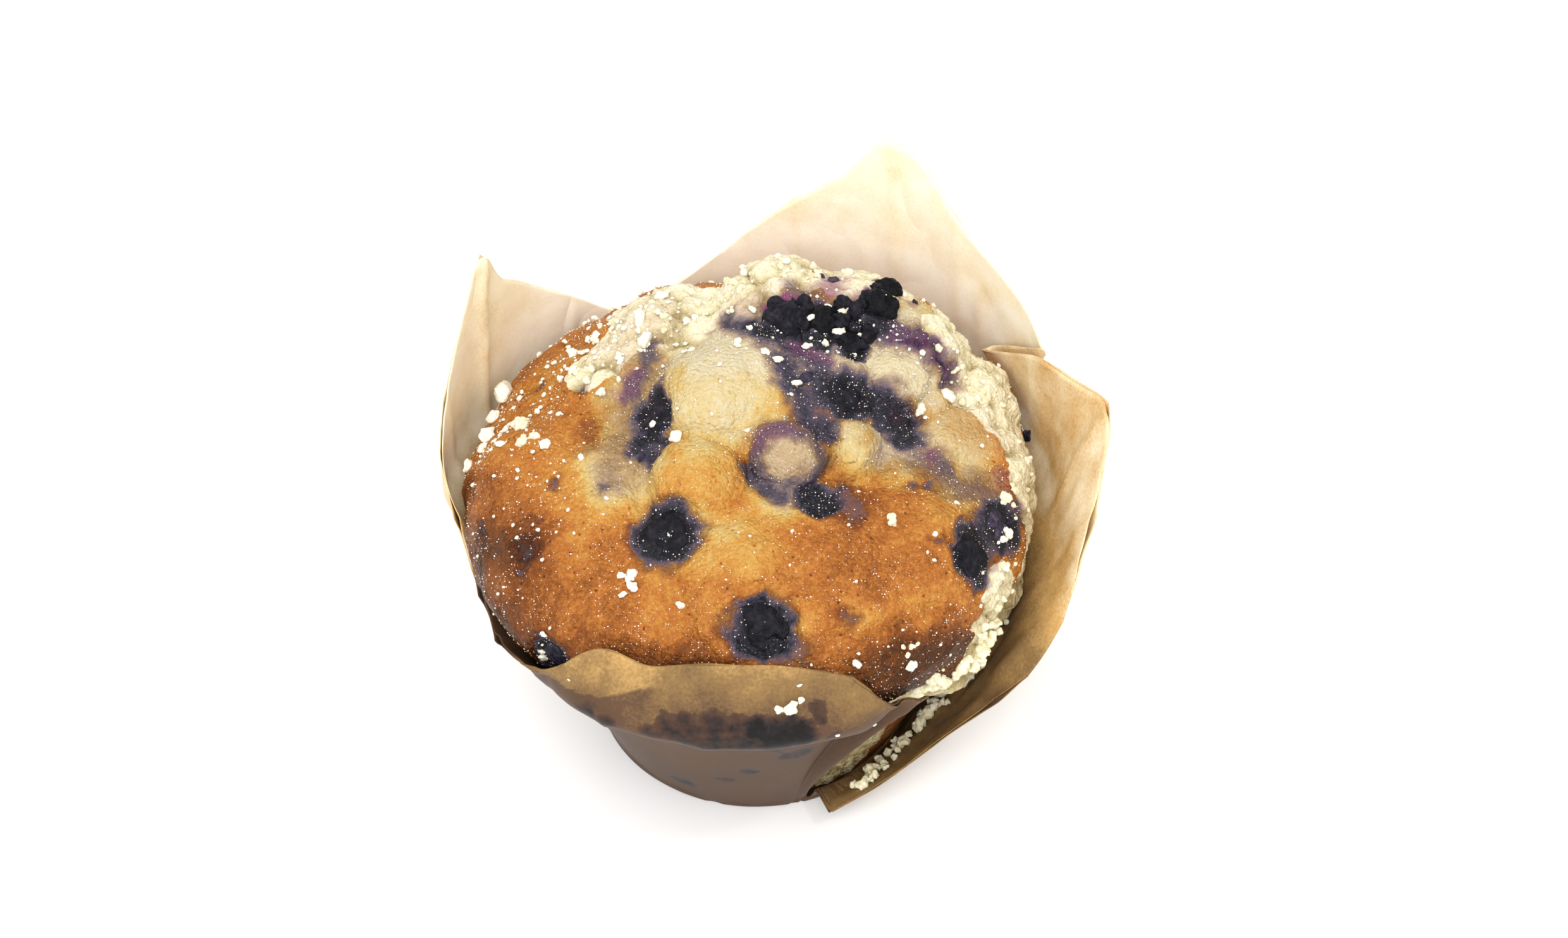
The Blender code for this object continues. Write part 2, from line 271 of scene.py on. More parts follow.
berryShape = {  # lengths are shares of the berry's radius unless they are in mm
    "lumpSize": 0.8,
    "foldSize": 0.4,
    "foldDepth": 0.08,
    "grainSize": 0.12,
    "grainDepth": 0.012,
    "craterSize": 0.4,  # of the calyx: half its angle in radians
    "craterDepth": 0.2,
    "craterPoints": 5,
    "pointSize": 0.12,
    "rimHeight": 0.06,
    "scarHeight": 0.1,  # of the point in the calyx's middle
    "rimWidth": 0.1,
    "feelers": 12,  # places round the berry where the batter's height is felt
    "feelersOut": 1.35,
    "collar": 0.7,  # width in mm of the batter that fills the pocket round a berry
    "collarRise": 0.55,  # its height above the batter, as a share of the berry's
}


def cadBerry(name):
    # the middle and the radius of a berry's node
    low, high = (np.array(corner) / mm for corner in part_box(name))
    return (low + high) / 2, (high - low).mean() / 2


def berryDistances(points):
    # how far the points are from each berry's middle, in that berry's radii
    for name in berries:
        middle, radius = cadBerry(name)
        yield np.linalg.norm(points - middle, axis=1) / radius


def withCalyx(size, directions, outward, tilt, bearing):
    # the berry's size in each direction, with the five-pointed crater of its calyx pressed in
    side = Matrix.Rotation(math.radians(bearing), 3, outward) @ outward.orthogonal().normalized()
    axis = np.array(outward * math.cos(math.radians(tilt)) + side * math.sin(math.radians(tilt)))
    cross = np.array(Vector(axis).orthogonal().normalized())
    around = np.arctan2(directions @ np.cross(axis, cross), directions @ cross)
    angle = np.arccos(np.clip(directions @ axis, -1, 1))
    star = 1 + berryShape["pointSize"] * np.cos(berryShape["craterPoints"] * around)
    edge = berryShape["craterSize"] * star
    size = size - berryShape["craterDepth"] * fade(edge * 1.05, edge * 0.55, angle)
    size += berryShape["rimHeight"] * np.exp(-((angle - edge) / berryShape["rimWidth"]) ** 2)
    return size + berryShape["scarHeight"] * np.exp(-(angle / berryShape["rimWidth"]) ** 2)


def makeBerry(name, seed):
    kept, swell, wet, violet, lumps, calyx = berries[name]
    middle, radius = cadBerry(name)
    radius *= swell
    outward = Vector(middle - core).normalized()
    bpy.ops.object.select_all(action="DESELECT")
    bpy.ops.mesh.primitive_ico_sphere_add(subdivisions=5, radius=1.0)
    piece = bpy.context.object
    piece.name = name.replace("berry", "bakedBerry")
    directions = readVectors(piece.data.vertices, "co")
    directions /= np.linalg.norm(directions, axis=1)[:, None]
    smoothSize = 1 + lumps * rough(directions, berryShape["lumpSize"], 2, seed)
    folds = np.abs(rough(directions, berryShape["foldSize"], 3, seed + 1))
    smoothSize += berryShape["foldDepth"] * (fade(0.0, 0.35, folds) - 0.8)
    smoothSize += berryShape["grainDepth"] * rough(directions, berryShape["grainSize"], 2, seed + 2)
    size = withCalyx(smoothSize, directions, outward, *calyx) if calyx else smoothSize
    # the plane of the batter round the berry
    up = np.array(outward)
    aside = np.array(outward.orthogonal().normalized())
    axes = np.array([aside, np.cross(up, aside)])
    ring = []
    for step in range(berryShape["feelers"]):
        angle = step * 2 * math.pi / berryShape["feelers"]
        turn = Matrix.Rotation(angle, 3, outward) @ Vector(aside)
        start = Vector(middle + np.array(turn) * radius * berryShape["feelersOut"] + up * 30) * mm
        hit = crownTree.ray_cast(start, -outward)
        if hit[0] is not None:
            offset = np.array(hit[0]) / mm - middle
            ring.append((1.0, *(axes @ offset), up @ offset))
    ring = np.array(ring)
    plane = np.linalg.lstsq(ring[:, :3], ring[:, 3], rcond=None)[0]
    shaped = []
    collarReach = (radius / swell + berryShape["collar"]) * smoothSize
    for reach, share in ((radius * size, kept), (collarReach, kept * berryShape["collarRise"])):
        # what stands above the batter round the berry is pressed down
        points = middle + directions * reach[:, None]
        height = (points - middle) @ (up - plane[1:] @ axes) - plane[0]
        shaped.append(points + up * (np.where(height > 0, height * (share - 1), 0))[:, None])
    points, collar = shaped
    filler = piece.copy()
    filler.data = piece.data.copy()
    bpy.context.scene.collection.objects.link(filler)
    writePoints(filler, collar)
    fillers.append(filler)
    writePoints(piece, points)
    # painted shade, darkest in the skin's folds
    storeValues(piece, fold=fade(0.25, 0.0, folds), wet=wet, violet=violet)
    bpy.ops.object.shade_smooth()  # of the berry and of its filler
    return piece


body = copyNode("muffin", "bakedMuffin")
crownTree = surfaceTree(body)
fillers = []  # the batter that fills each pocket round its berry
berryPieces = {
    name: makeBerry(name, 100 + 5 * number) for number, name in enumerate(sorted(berries))}
print("berries shaped")


muffin = {
    "voxel": 0.5,
    "evenPasses": 5,
    "domes": [  # bulges of risen batter: bearing, elevation, radius, height
        (-175, 80, 11.5, 1.7), (115, 72, 8, 1.2), (-121, 56, 8.4, 2.5), (-69, 61, 6.8, 2.4),
        (-25, 52, 5.2, 2.1), (16, 45, 5, 2.4), (26, 54, 4.4, 1.5), (-76, 31, 17, 2.2),
        (-45, 27, 12, 1.5), (-161, 25, 15, 1.6), (-131, 14, 11, 1.2), (4, 27, 6.5, 1.6),
        (-4, 20, 5, 1), (24, 40, 3.6, 1), (20, 33, 3.2, 0.9), (34, 46, 3.4, 0.7), (168, 50, 6, 0.8),
        (140, 50, 5.5, 0.7), (-60, 12, 11, 0.5), (-146, 3, 14, 1.5), (-158, 8, 12, 0.8),
        (60, 20, 13, 1.4), (100, 18, 15, 1.5), (140, 15, 13, 1.3), (30, 10, 12, 1), (85, 36, 9, 1),
    ],
    "domeBlend": 0.22,
    "domeRagged": (3.0, 0.9),  # size and reach of the noise that makes outlines ragged
    "berryClear": (0.9, 1.5),  # berries' radii from their middles between which the bulges set in
    "risesFrom": (34, 42),  # heights between which the bulges set in
    "creaseWidth": 0.8,
    "creases": [  # depth, then the line along which one bulge of batter tucks under the next
        (0.7, [(-145, 41), (-130, 38), (-117, 40), (-102, 42), (-87, 44), (-72, 46), (-55, 47),
            (-38, 45), (-21, 41)]),
        (0.6, [(-165, 52), (-157, 60), (-143, 68), (-121, 73), (-97, 72)]),
        (0.9, [(-92, 66), (-91, 55), (-77, 49), (-57, 50), (-33, 55), (-31, 61)]),
        (0.6, [(-30, 59), (-41, 52), (-39, 46), (-23, 43), (-9, 43)]),
        (0.8, [(-73, 19), (-65, 18), (-56, 17), (-49, 16), (-45, 15)]),
    ],
    "unevenness": [(8.0, 0.45), (3.0, 0.26), (1.3, 0.13)],  # size and height of the crust's waves
    "torn": [  # where the crust is torn off and the crumb shows: strength, half width, line
        (1, 4.6, [(157, 38), (141, 38), (132, 40), (124, 43), (113, 45), (103, 47), (90, 49),
            (79, 50), (66, 46), (52, 42)]),
        (1, 3.4, [(136, 43), (124, 49), (112, 54), (100, 56), (86, 58)]),
        (1, 4.2, [(130, 34), (112, 36), (95, 37), (75, 40), (60, 38), (50, 36)]),
        (1, 5, [(28, 33), (19, 29), (15, 23), (8, 18), (0, 16), (-5, 13)]),
        (1, 3.8, [(-4, 14), (-9, 10)]),
        (1, 4.5, [(34, 28), (25, 22), (16, 15), (8, 10), (0, 7), (-8, 4), (-16, 0)]),
        (1, 3.2, [(-9, 10), (-14, 4), (-20, 2), (-27, 2)]),
        (1, 4.2, [(-2, 0), (-14, -3), (-26, -5)]), (1, 4, [(-14, -4), (-22, -7), (-30, -8)]),
        (1, 4.2, [(-31, 9), (-36, 4), (-38, -3), (-42, -9), (-47, -15), (-52, -22)]),
        (1, 6, [(-50, -26), (-58, -36), (-62, -50)]), (1, 5, [(-55, -14), (-60, -24)]),
    ],
    "tornDepth": 0.35,
    "tornRagged": (2.6, 1.3),
    "tornLumps": [(4.2, 1.3), (1.7, 0.55), (0.8, 0.24)],  # size and height of the crumb's lumps
    "hollow": 0.6,  # painted shade on the crumb: how dark it is at its middle height,
    "crumbShadeRelief": 2.4,  # the relief in mm that makes it quite pale on its lumps or dark between them,
    "crumbShadeLow": 0.4,  # and how much darker it is painted low down
    "lowCrumbShade": (53, 40),
    "smoothBelow": (30, 38),
}

pickOnly(body, *fillers)
bpy.ops.object.join()
body.data.remesh_voxel_size = muffin["voxel"] * mm
bpy.ops.object.voxel_remesh()
useModifier(body, "SMOOTH", factor=0.5, iterations=muffin["evenPasses"])
crownTree = surfaceTree(body)
points = readPoints(body)
print("muffin remeshed", len(points))

stirred = stir(points, *muffin["domeRagged"], 300)
risen = []
for bearing, elevation, radius, height in muffin["domes"]:
    distance = np.linalg.norm(stirred - onCrown(bearing, elevation)[0], axis=1) / radius
    risen.append(height * np.sqrt(np.clip(1 - distance ** 2, 0, 1)))
blend = muffin["domeBlend"]
risen = blend * np.log(1 + sum(np.exp(dome / blend) - 1 for dome in risen))
for depth, path in muffin["creases"]:
    risen -= depth * np.exp(-(nearPath(stirred, path) / muffin["creaseWidth"]) ** 2)
berryGap = np.minimum.reduce(list(berryDistances(points)))
risen *= fade(*muffin["berryClear"], berryGap)  # berries stay, batter bulges between them
risen *= fade(*muffin["risesFrom"], points[:, 2])
points = points + readNormals(body) * risen[:, None]
writePoints(body, points)
useModifier(body, "SMOOTH", factor=0.5, iterations=2)
crownTree = surfaceTree(body)

smooth = readPoints(body)
normals = readNormals(body)
ragged = stir(smooth, *muffin["tornRagged"], 320)
torn = strongest(ragged, muffin["torn"], soft=0.10)
crownOnly = fade(*muffin["smoothBelow"], smooth[:, 2])  # the side inside the case is smoother
waves = waved(smooth, muffin["unevenness"], 11)
waves *= 0.35 + 0.65 * fade(1.0, 1.25, berryGap)
crumbLift = np.zeros(len(smooth))
at = torn > 0
crumbLift[at] = relief(smooth[at], muffin["tornLumps"], 21, 0.6)
lift = waves * (1 - torn) * (0.3 + 0.7 * crownOnly) + (crumbLift - muffin["tornDepth"]) * torn
points = smooth + normals * lift[:, None]
writePoints(body, points)
crownTree = surfaceTree(body)
# painted shade: the crumb darker between its lumps and low down
hollow = muffin["hollow"] - crumbLift / muffin["crumbShadeRelief"]
hollow = np.clip(hollow + muffin["crumbShadeLow"] * fade(*muffin["lowCrumbShade"], smooth[:, 2]), 0, 1)
print("muffin shaped")

colouring = {
    "plain": 0.62,
    "browning": [  # change of browning, half width and line: below nought is paler
        (-0.5, 9.2, [(-175, 81)]), (-0.4, 7, [(120, 68)]),  # the big pale bulge
        (-0.4, 6, [(140, 47), (160, 50), (-178, 50), (-165, 45), (-152, 42)]),
        (-0.16, 6.5, [(-121, 56)]), (-0.08, 3, [(-130, 62)]),  # the golden bulge
        (-0.56, 6.2, [(-69, 61)]),  # the round bulge
        (-0.35, 5, [(-25, 52)]), (-0.12, 2.5, [(-22, 55)]), (-0.54, 6, [(16, 44)]),
        (-0.46, 5.5, [(27, 58), (22, 50)]), (-0.45, 8, [(104, 57), (79, 64), (44, 66), (33, 50)]),
        (-0.4, 5, [(60, 45), (40, 40)]), (-0.3, 4, [(-10, 45), (-8, 38)]),
        (-0.16, 4.5, [(-112, 35), (-92, 38)]), (-0.12, 6, [(-87, 20)]),
        (-0.14, 2.6, [(-128, 39), (-102, 42), (-72, 46), (-55, 47)]),
        (-0.32, 5, [(14, 37), (8, 31), (-2, 28)]), (-0.04, 6, [(-30, 24)]), (-0.1, 6, [(-150, 32)]),
        (0.03, 9, [(-70, 34)]), (0.05, 8, [(-60, 30)]), (0.21, 8, [(-150, 13)]),
        (0.06, 8, [(-140, 24)]), (0.22, 6, [(-172, 9), (-160, 5)]),
        (0.16, 6, [(-140, 3), (-118, 7), (-98, 11)]), (0.08, 5, [(-165, 22), (-150, 20)]),
        (-0.28, 4.5, [(-9, 33), (-16, 27), (-15, 22)]), (-0.22, 3.5, [(-22, 38), (-14, 42)]),
        (-0.1, 4, [(-64, 20), (-56, 19)]), (0.18, 6.5, [(-66, 10), (-54, 8), (-47, 2), (-42, -2)]),
        (0.12, 8, [(-60, 0), (-75, 0)]), (0.1, 4.5, [(-62, 14), (-54, 12), (-48, 8)]),
        (0.1, 9, [(-128, 10), (-108, 10), (-90, 10)]),
    ],
    "ragged": (5.0, 2.2),
    "rimBrowning": 0.14,
    "rim": (50, 43),
    "mottle": [(7.0, 0.09), (1.7, 0.04)],  # size and strength
}
browning = strokeValues(stir(smooth, *colouring["ragged"], 330), colouring["browning"], 0.5)
brown = colouring["plain"] + sum(browning)
brown += colouring["rimBrowning"] * fade(*colouring["rim"], smooth[:, 2])
brown += waved(smooth, colouring["mottle"], 32)

juiceColouring = {
    "halo": 0.72,  # width of a berry's stain, as a share of its own size
    "stains": [  # strength, half width and line of what the juice has soaked
        (0.95, 1.5, [(95, 64), (79, 69)]),
        (0.72, 2.6, [(104, 57), (95, 65), (79, 69), (63, 69), (44, 69), (33, 66)]),
        (0.8, 2.6, [(50, 76), (-9, 74), (-35, 67), (-26, 63)]), (0.75, 3.2, [(20, 68), (0, 68)]),
        (0.95, 4.2, [(6, 58)]), (0.76, 2.8, [(10, 65), (5, 52), (3, 43)]),
        (0.85, 3.1, [(7, 48), (2, 41), (-3, 38)]),
        (0.88, 2.4, [(62, 67), (46, 62), (40, 54), (36, 47)]),
        (0.72, 2.6, [(32, 46), (28, 43), (24, 39), (21, 35), (19, 31)]),
        (0.92, 1.2, [(28, 44), (23, 39), (20, 34)]), (0.3, 4, [(95, 60), (84, 60)]),
        (0.5, 3, [(70, 56), (55, 54), (44, 50)]),
        (0.62, 1.8, [(138, 47), (145, 48), (160, 48), (170, 47)]),
        (0.35, 3.6, [(150, 49), (176, 46)]),
        (0.85, 2.2, [(166, 58), (-175, 60), (-171, 52), (-160, 47), (-153, 50)]),
        (0.3, 4, [(-165, 43), (-155, 45)]),
        (0.62, 2.1, [(-62, 71), (-79, 71), (-86, 65), (-87, 57), (-76, 52), (-59, 53), (-45, 56),
            (-43, 62), (-51, 67), (-62, 71)]),
        (0.55, 2.6, [(-47, 64), (-52, 70), (-72, 72)]),
        (0.72, 1.7, [(-90, 62), (-86, 55), (-76, 51), (-62, 52)]),
        (0.36, 2.6, [(-84, 71), (-60, 71)]), (0.3, 3.6, [(-60, 54)]), (0.22, 5, [(-69, 61)]),
        (0.36, 2.6, [(165, 50), (-178, 47), (-168, 43), (-158, 41), (-150, 38)]),
        (0.18, 3.2, [(-16, 48), (-12, 53)]), (0.26, 3, [(-20, 43), (-12, 36)]),
        (0.5, 3.4, [(-12, 33), (-17, 27), (-15, 22)]), (0.6, 1.9, [(-9, 32), (-13, 29)]),
        (0.08, 5, [(4, 28), (0, 24)]), (0.66, 1.3, [(-25, 33)]), (0.66, 1.3, [(-22, 30)]),
        (0.5, 1.6, [(-17, 25), (-14, 21)]), (0.14, 6, [(141, 40), (128, 43)]),
        (0.62, 0.8, [(-29, 25)]), (0.58, 0.9, [(-39, 27)]), (0.4, 2, [(-10, 20)]),
        (0.78, 3, [(-27, 19), (-18, 16)]), (0.7, 2.2, [(-16, 18), (-14, 13)]),
        (0.48, 1.8, [(-69, 23)]), (0.52, 2.8, [(-47, 45), (-51, 40)]), (0.34, 4.2, [(-50, 42)]),
        (0.62, 1.4, [(165, 36)]), (0.55, 1.2, [(-159, 30)]), (0.62, 1.6, [(-150, 37)]),
        (0.6, 1, [(160, 23)]), (0.55, 1, [(-152, 24)]), (0.7, 0.8, [(-170, 15)]),
        (0.45, 2.6, [(-148, 20)]), (0.66, 1, [(-145, 17)]), (0.6, 0.9, [(-162, 14)]),
        (0.35, 2.2, [(-180, 38), (-168, 38)]), (0.16, 4.5, [(176, 42), (172, 47)]),
        (0.62, 2.6, [(-131, 3), (-126, 6)]), (0.42, 2.6, [(-93, 23)]), (0.46, 2.8, [(-80, 18)]),
    ],
    "pink": [
        (0.9, 1.7, [(81, 60), (74, 59)]), (0.8, 1.4, [(66, 58)]), (0.75, 2.4, [(61, 49), (62, 45)]),
        (0.7, 2.2, [(49, 47)]), (0.7, 1.3, [(55, 56)]), (0.2, 1.6, [(38, 46)]),
        (0.6, 1.3, [(40, 37)]), (0.28, 2.2, [(30, 45), (24, 39), (19, 32)]),
        (0.34, 2.4, [(-84, 70), (-60, 70)]), (0.4, 1.8, [(-9, 32)]), (0.22, 5, [(6, 31), (0, 26)]),
        (0.35, 1.8, [(170, 46), (155, 47)]), (0.3, 2, [(-10, 20)]), (0.12, 2, [(2, 42)]),
        (0.35, 1.6, [(50, 68), (30, 62)]),
    ],
}
juice = strongest(ragged, juiceColouring["stains"], soft=0.75)
halo = np.zeros(len(smooth))
for away in berryDistances(ragged):
    soaked = np.clip((1 + juiceColouring["halo"] - away) / juiceColouring["halo"], 0, 1)
    halo = np.maximum(halo, soaked ** 1.2)
juice = 1 - (1 - juice) * (1 - halo)
pink = strongest(ragged, juiceColouring["pink"], soft=0.6)
storeValues(body, torn=torn, hollow=hollow, brown=np.clip(brown, 0, 1), juice=np.clip(juice, 0, 1),
            pink=np.clip(pink, 0, 1))
print("muffin coloured")


def muffinMaterial():
    # baked batter: a browned, slightly moist crust over pale open crumb, stained by berry juice
    material, tree, place = newMaterial("bakedBatter", {
        "IOR": 1.45, "Specular IOR Level": 0.14, "Subsurface Weight": 0.12,
        "Subsurface Radius": (1.0, 0.55, 0.25), "Subsurface Scale": 1.4 * mm})
    # sizes in mm: fine grain, specks and patches, then pores 1.9 mm and granules 0.62 mm apart
    grain, fine, broad = (
        addNode(tree, "TexNoise", {"Scale": 1 / (size * mm), "Detail": detail}, {"Vector": place})
        for size, detail in ((0.30, 2.0), (0.75, 3.0), (2.2, 3.0)))
    pores, granules = (
        addNode(tree, "TexVoronoi", {"Scale": 1 / (size * mm)}, {"Vector": place})
        for size in (1.9, 0.62))
    brownValue, tornValue, crumbShadeValue, juiceValue, pinkValue = (
        addNode(tree, "Attribute", {"attribute_name": name}, out="Fac")
        for name in ("brown", "torn", "hollow", "juice", "pink"))
    speckle = addNode(tree, "Math", {"operation": "MULTIPLY_ADD", 1: 0.36, 2: -0.18}, {0: fine})
    dots = addNode(tree, "Math", {"operation": "MULTIPLY_ADD", 1: 0.34, 2: -0.17}, {0: grain})
    mottle = addNode(tree, "Math", {"operation": "MULTIPLY_ADD", 1: 0.14, 2: -0.07}, {0: broad})
    texture = addNode(tree, "Math", {"operation": "ADD"}, {0: speckle, 1: dots})
    texture = addNode(tree, "Math", {"operation": "ADD"}, {0: texture, 1: mottle})
    # painted shade: the crust darker in the pores, which the bump sinks
    poreShade = addNode(tree, "MapRange", {
        "From Min": 0.06, "From Max": 0.16, "To Min": 0.22, "To Max": 0.0}, {"Value": pores})
    paleGrains = addNode(tree, "Math", {"operation": "MINIMUM", 1: 0.045}, {0: texture})
    browned = addNode(tree, "Math", {"operation": "ADD"}, {0: brownValue, 1: paleGrains})
    browned = addNode(tree, "Math", {"operation": "ADD"}, {0: browned, 1: poreShade})
    crust = addNode(tree, "ValToRGB", {"stops": [
        (0.0, "#bfb292"), (0.16, "#bba776"), (0.32, "#b89857"), (0.48, "#b28039"),
        (0.64, "#a06127"), (0.80, "#743f15"), (1.0, "#40220c")]}, {0: browned})
    # the crumb darkened by its painted shade
    crumbTone = addNode(tree, "Math", {"operation": "ADD"}, {0: crumbShadeValue, 1: texture})
    crumb = addNode(tree, "ValToRGB", {"stops": [
        (0.25, "#e2dac0"), (0.50, "#d6cba9"), (0.75, "#c2b48e"), (1.0, "#9c8a5e")]}, {0: crumbTone})
    tornEdge = addNode(tree, "Math", {"operation": "ADD"}, {0: tornValue, 1: texture})
    tornMask = addNode(tree, "MapRange", {"From Min": 0.42, "From Max": 0.58}, {"Value": tornEdge})
    batter = addNode(tree, "Mix", {"data_type": "RGBA"}, {0: tornMask, 6: crust, 7: crumb})
    wetNoise = addNode(tree, "Math", {"operation": "MULTIPLY"}, {0: texture, 1: juiceValue})
    wet = addNode(tree, "Math", {"operation": "MULTIPLY_ADD", 1: 1.1}, {0: wetNoise, 2: juiceValue})
    tint = addNode(tree, "ValToRGB", {"stops": [
        (0.04, "#ffffff"), (0.25, "#dacdd0"), (0.45, "#a698a6"), (0.70, "#6e6478"),
        (1.0, "#484354")]}, {0: wet})
    tinted = addNode(tree, "Mix", {
        "data_type": "RGBA", "blend_type": "MULTIPLY", 0: 1.0}, {6: batter, 7: tint})
    juiceTone = addNode(tree, "ValToRGB", {"stops": [
        (0.45, "#766c79"), (0.65, "#4c4555"), (0.85, "#2c2a32"), (1.0, "#1a1a1e")]}, {0: wet})
    juiceMask = addNode(tree, "MapRange", {"From Min": 0.42, "From Max": 0.78}, {"Value": wet})
    colour = addNode(tree, "Mix", {"data_type": "RGBA"}, {0: juiceMask, 6: tinted, 7: juiceTone})
    pinkMask = addNode(tree, "Math", {"operation": "ADD"}, {0: pinkValue, 1: wetNoise})
    pinkMask = addNode(tree, "MapRange", {
        "From Min": 0.08, "From Max": 0.9, "To Max": 0.85}, {"Value": pinkMask})
    colour = addNode(tree, "Mix", {
        "data_type": "RGBA", 7: linear("#7a2f5f")}, {0: pinkMask, 6: colour})
    dryness = addNode(tree, "MapRange", {"To Min": 0.40, "To Max": 0.85}, {"Value": tornMask})
    wetness = addNode(tree, "MapRange", {"From Min": 0.2, "From Max": 0.7}, {"Value": wet})
    roughness = addNode(tree, "Mix", {"data_type": "FLOAT", 3: 0.22}, {0: wetness, 2: dryness})
    height = addNode(tree, "Math", {"operation": "MULTIPLY_ADD", 1: 0.6}, {0: grain, 2: fine})
    height = addNode(tree, "Math", {"operation": "MULTIPLY_ADD", 1: -0.9}, {0: granules, 2: height})
    height = addNode(tree, "Math", {"operation": "MULTIPLY_ADD", 1: -1.5}, {0: poreShade, 2: height})
    connect(tree, colour, roughness, height, 1.0, 0.30)
    return material


finishPiece(body, muffinMaterial(), "baked_batter", "muffin")
print("muffin finished", len(body.data.polygons))


paper = {
    "wall": 0.3,  # thickness of the CAD solid, whose outer wall becomes the sheet
    "sheet": 0.14,
    "slack": 0.4,  # kept between the batter and the outside of the sheet,
    "rimTop": 62,  # below this height
    "footReach": 26,  # and beyond the case's foot
    "straightened": [  # bearing, the rim's height, how far the wall is drawn in to run straight up
        (320, 24, 0), (328, 34, 0.8), (334, 44, 1.6), (340, 52, 2.3), (346, 57, 2.7),
        (352, 62, 2.8), (358, 66, 2.4), (364, 65, 1.5), (372, 64, 0),
    ],
    "drawnFrom": 30,  # height where the drawing in starts,
    "drawnLength": 22,  # or at least this far below the rim
    "heel": [(0, 26.1), (0.5, 26.7), (1.6, 27.1), (6, 28.9), (9, 99)],  # height, furthest reach
    "levels": 3,
    "stiffFoot": (1, 8),  # heights between which the unevenness sets in,
    "looseFrom": (30, 56),  # and between which it grows to its full size
    "waves": [(18.0, 0.30), (7.0, 0.07), (2.5, 0.018)],  # size and height of the sheet's unevenness
    "creases": [  # bearing at the foot and at the edge, lowest and highest point, depth, half width
        (156, 155, 40, 80, 0.9, 1.3), (61, 61, 52, 84, -0.4, 2.2), (-2, -2, 44, 68, 0.5, 1.6),
        (262, 262, 38, 58, -0.4, 3), (80, 83, 46, 72, 0.35, 1), (45, 47, 50, 74, 0.3, 1.4),
        (120, 121, 8, 50, 0.7, 1.2), (108, 110, 14, 52, -0.5, 1.5), (134, 131, 12, 56, -0.4, 1.2),
        (186, 188, 8, 48, 0.6, 1.2), (201, 203, 10, 44, -0.6, 1.4), (216, 214, 12, 43, 0.7, 1.1),
        (246, 243, 28, 54, 0.4, 1.3), (226, 227, 34, 46, -0.5, 1.6), (38, 40, 10, 60, 0.6, 1.1),
        (28, 27, 8, 50, -0.5, 1.3), (-20, -16, 20, 56, 0.4, 1.8), (-38, -34, 14, 34, 0.35, 1.6),
        (90, 94, 10, 56, 0.5, 1), (66, 68, 12, 60, -0.35, 1.2), (170, 171, 16, 58, 0.4, 1.2),
    ],
}


def outerSheet(name):
    # the outer of the solid's two walls, without the narrow faces that join them along the edge
    piece = copyNode("paper_case", name)
    tree = surfaceTree(piece)
    bm = bmesh.new()
    bm.from_mesh(piece.data)
    rim = []
    for face in bm.faces:
        start = face.calc_center_median() - face.normal * 0.01 * mm
        through = tree.ray_cast(start, -face.normal, 3 * paper["wall"] * mm)
        if through[0] is None or through[3] > 1.6 * paper["wall"] * mm:
            rim.append(face)
    bmesh.ops.delete(bm, geom=rim, context="FACES")
    left, walls = set(bm.faces), []
    while left:
        wall, edge = set(), [left.pop()]
        while edge:
            face = edge.pop()
            wall.add(face)
            nearby = {other for e in face.edges for other in e.link_faces} & left
            left -= nearby
            edge.extend(nearby)
        walls.append(wall)
    walls.sort(key=lambda wall: sum(face.calc_area() for face in wall))
    bmesh.ops.delete(bm, geom=[face for wall in walls[:-1] for face in wall], context="FACES")
    bm.to_mesh(piece.data)
    bm.free()
    pickOnly(piece)
    bpy.ops.object.mode_set(mode="EDIT")
    bpy.ops.mesh.select_all(action="SELECT")
    bpy.ops.mesh.tris_convert_to_quads(
        face_threshold=math.radians(70), shape_threshold=math.radians(120))
    bpy.ops.object.mode_set(mode="OBJECT")
    return piece


def subdivideThrough(piece, levels, passes=4):
    # subdivides smoothly, with the cage moved first so that the sheet runs through its corners
    corners = readPoints(piece)
    cage = corners.copy()
    trial = piece.modifiers.new("trial", "SUBSURF")
    trial.levels = trial.render_levels = 2
    for _ in range(passes):
        writePoints(piece, cage)
        shown = piece.evaluated_get(bpy.context.evaluated_depsgraph_get()).to_mesh()
        cage += corners - readVectors(shown.vertices, "co")[:len(corners)] / mm
    piece.modifiers.remove(trial)
    writePoints(piece, cage)
    useModifier(piece, "SUBSURF", levels=levels, render_levels=levels)


def bearingGap(bearings, bearing):
    return (bearings - bearing + 180) % 360 - 180


sheet = outerSheet("paperCase")
print("paper sheet found", len(sheet.data.polygons))
subdivideThrough(sheet, paper["levels"])
points = readPoints(sheet)
flatPoints = points.copy()
normals = readNormals(sheet)
bearings = np.degrees(np.arctan2(points[:, 1], points[:, 0]))
heights = points[:, 2]
reach = np.hypot(points[:, 0], points[:, 1])
push = waved(points, paper["waves"], 51)
push *= 0.5 + 0.5 * fade(*paper["looseFrom"], heights)
creaseLines = np.zeros(len(points))
for foot, top, low, high, depth, halfWidth in paper["creases"]:
    turn = foot + (top - foot) * np.clip((heights - low) / (high - low), 0, 1)
    aside = np.radians(bearingGap(bearings, turn)) * reach + 0.6 * rough(points, 9.0, 2, 57)
    line = np.exp(-np.abs(aside / halfWidth) ** 1.5)
    line *= fade(low - 4, low + 5, heights) * fade(high + 5, high - 4, heights)
    push += depth * line
    creaseLines = np.maximum(creaseLines, line)
push *= fade(*paper["stiffFoot"], heights)
turned = np.where(bearings % 360 < 90, bearings % 360 + 360, bearings % 360)
rimBearings, rimHeights, rimDraws = zip(*paper["straightened"])
rim = np.interp(turned, rimBearings, rimHeights)
foot = np.minimum(paper["drawnFrom"], rim - paper["drawnLength"])
share = np.clip((heights - foot) / (rim - foot), 0, 1)
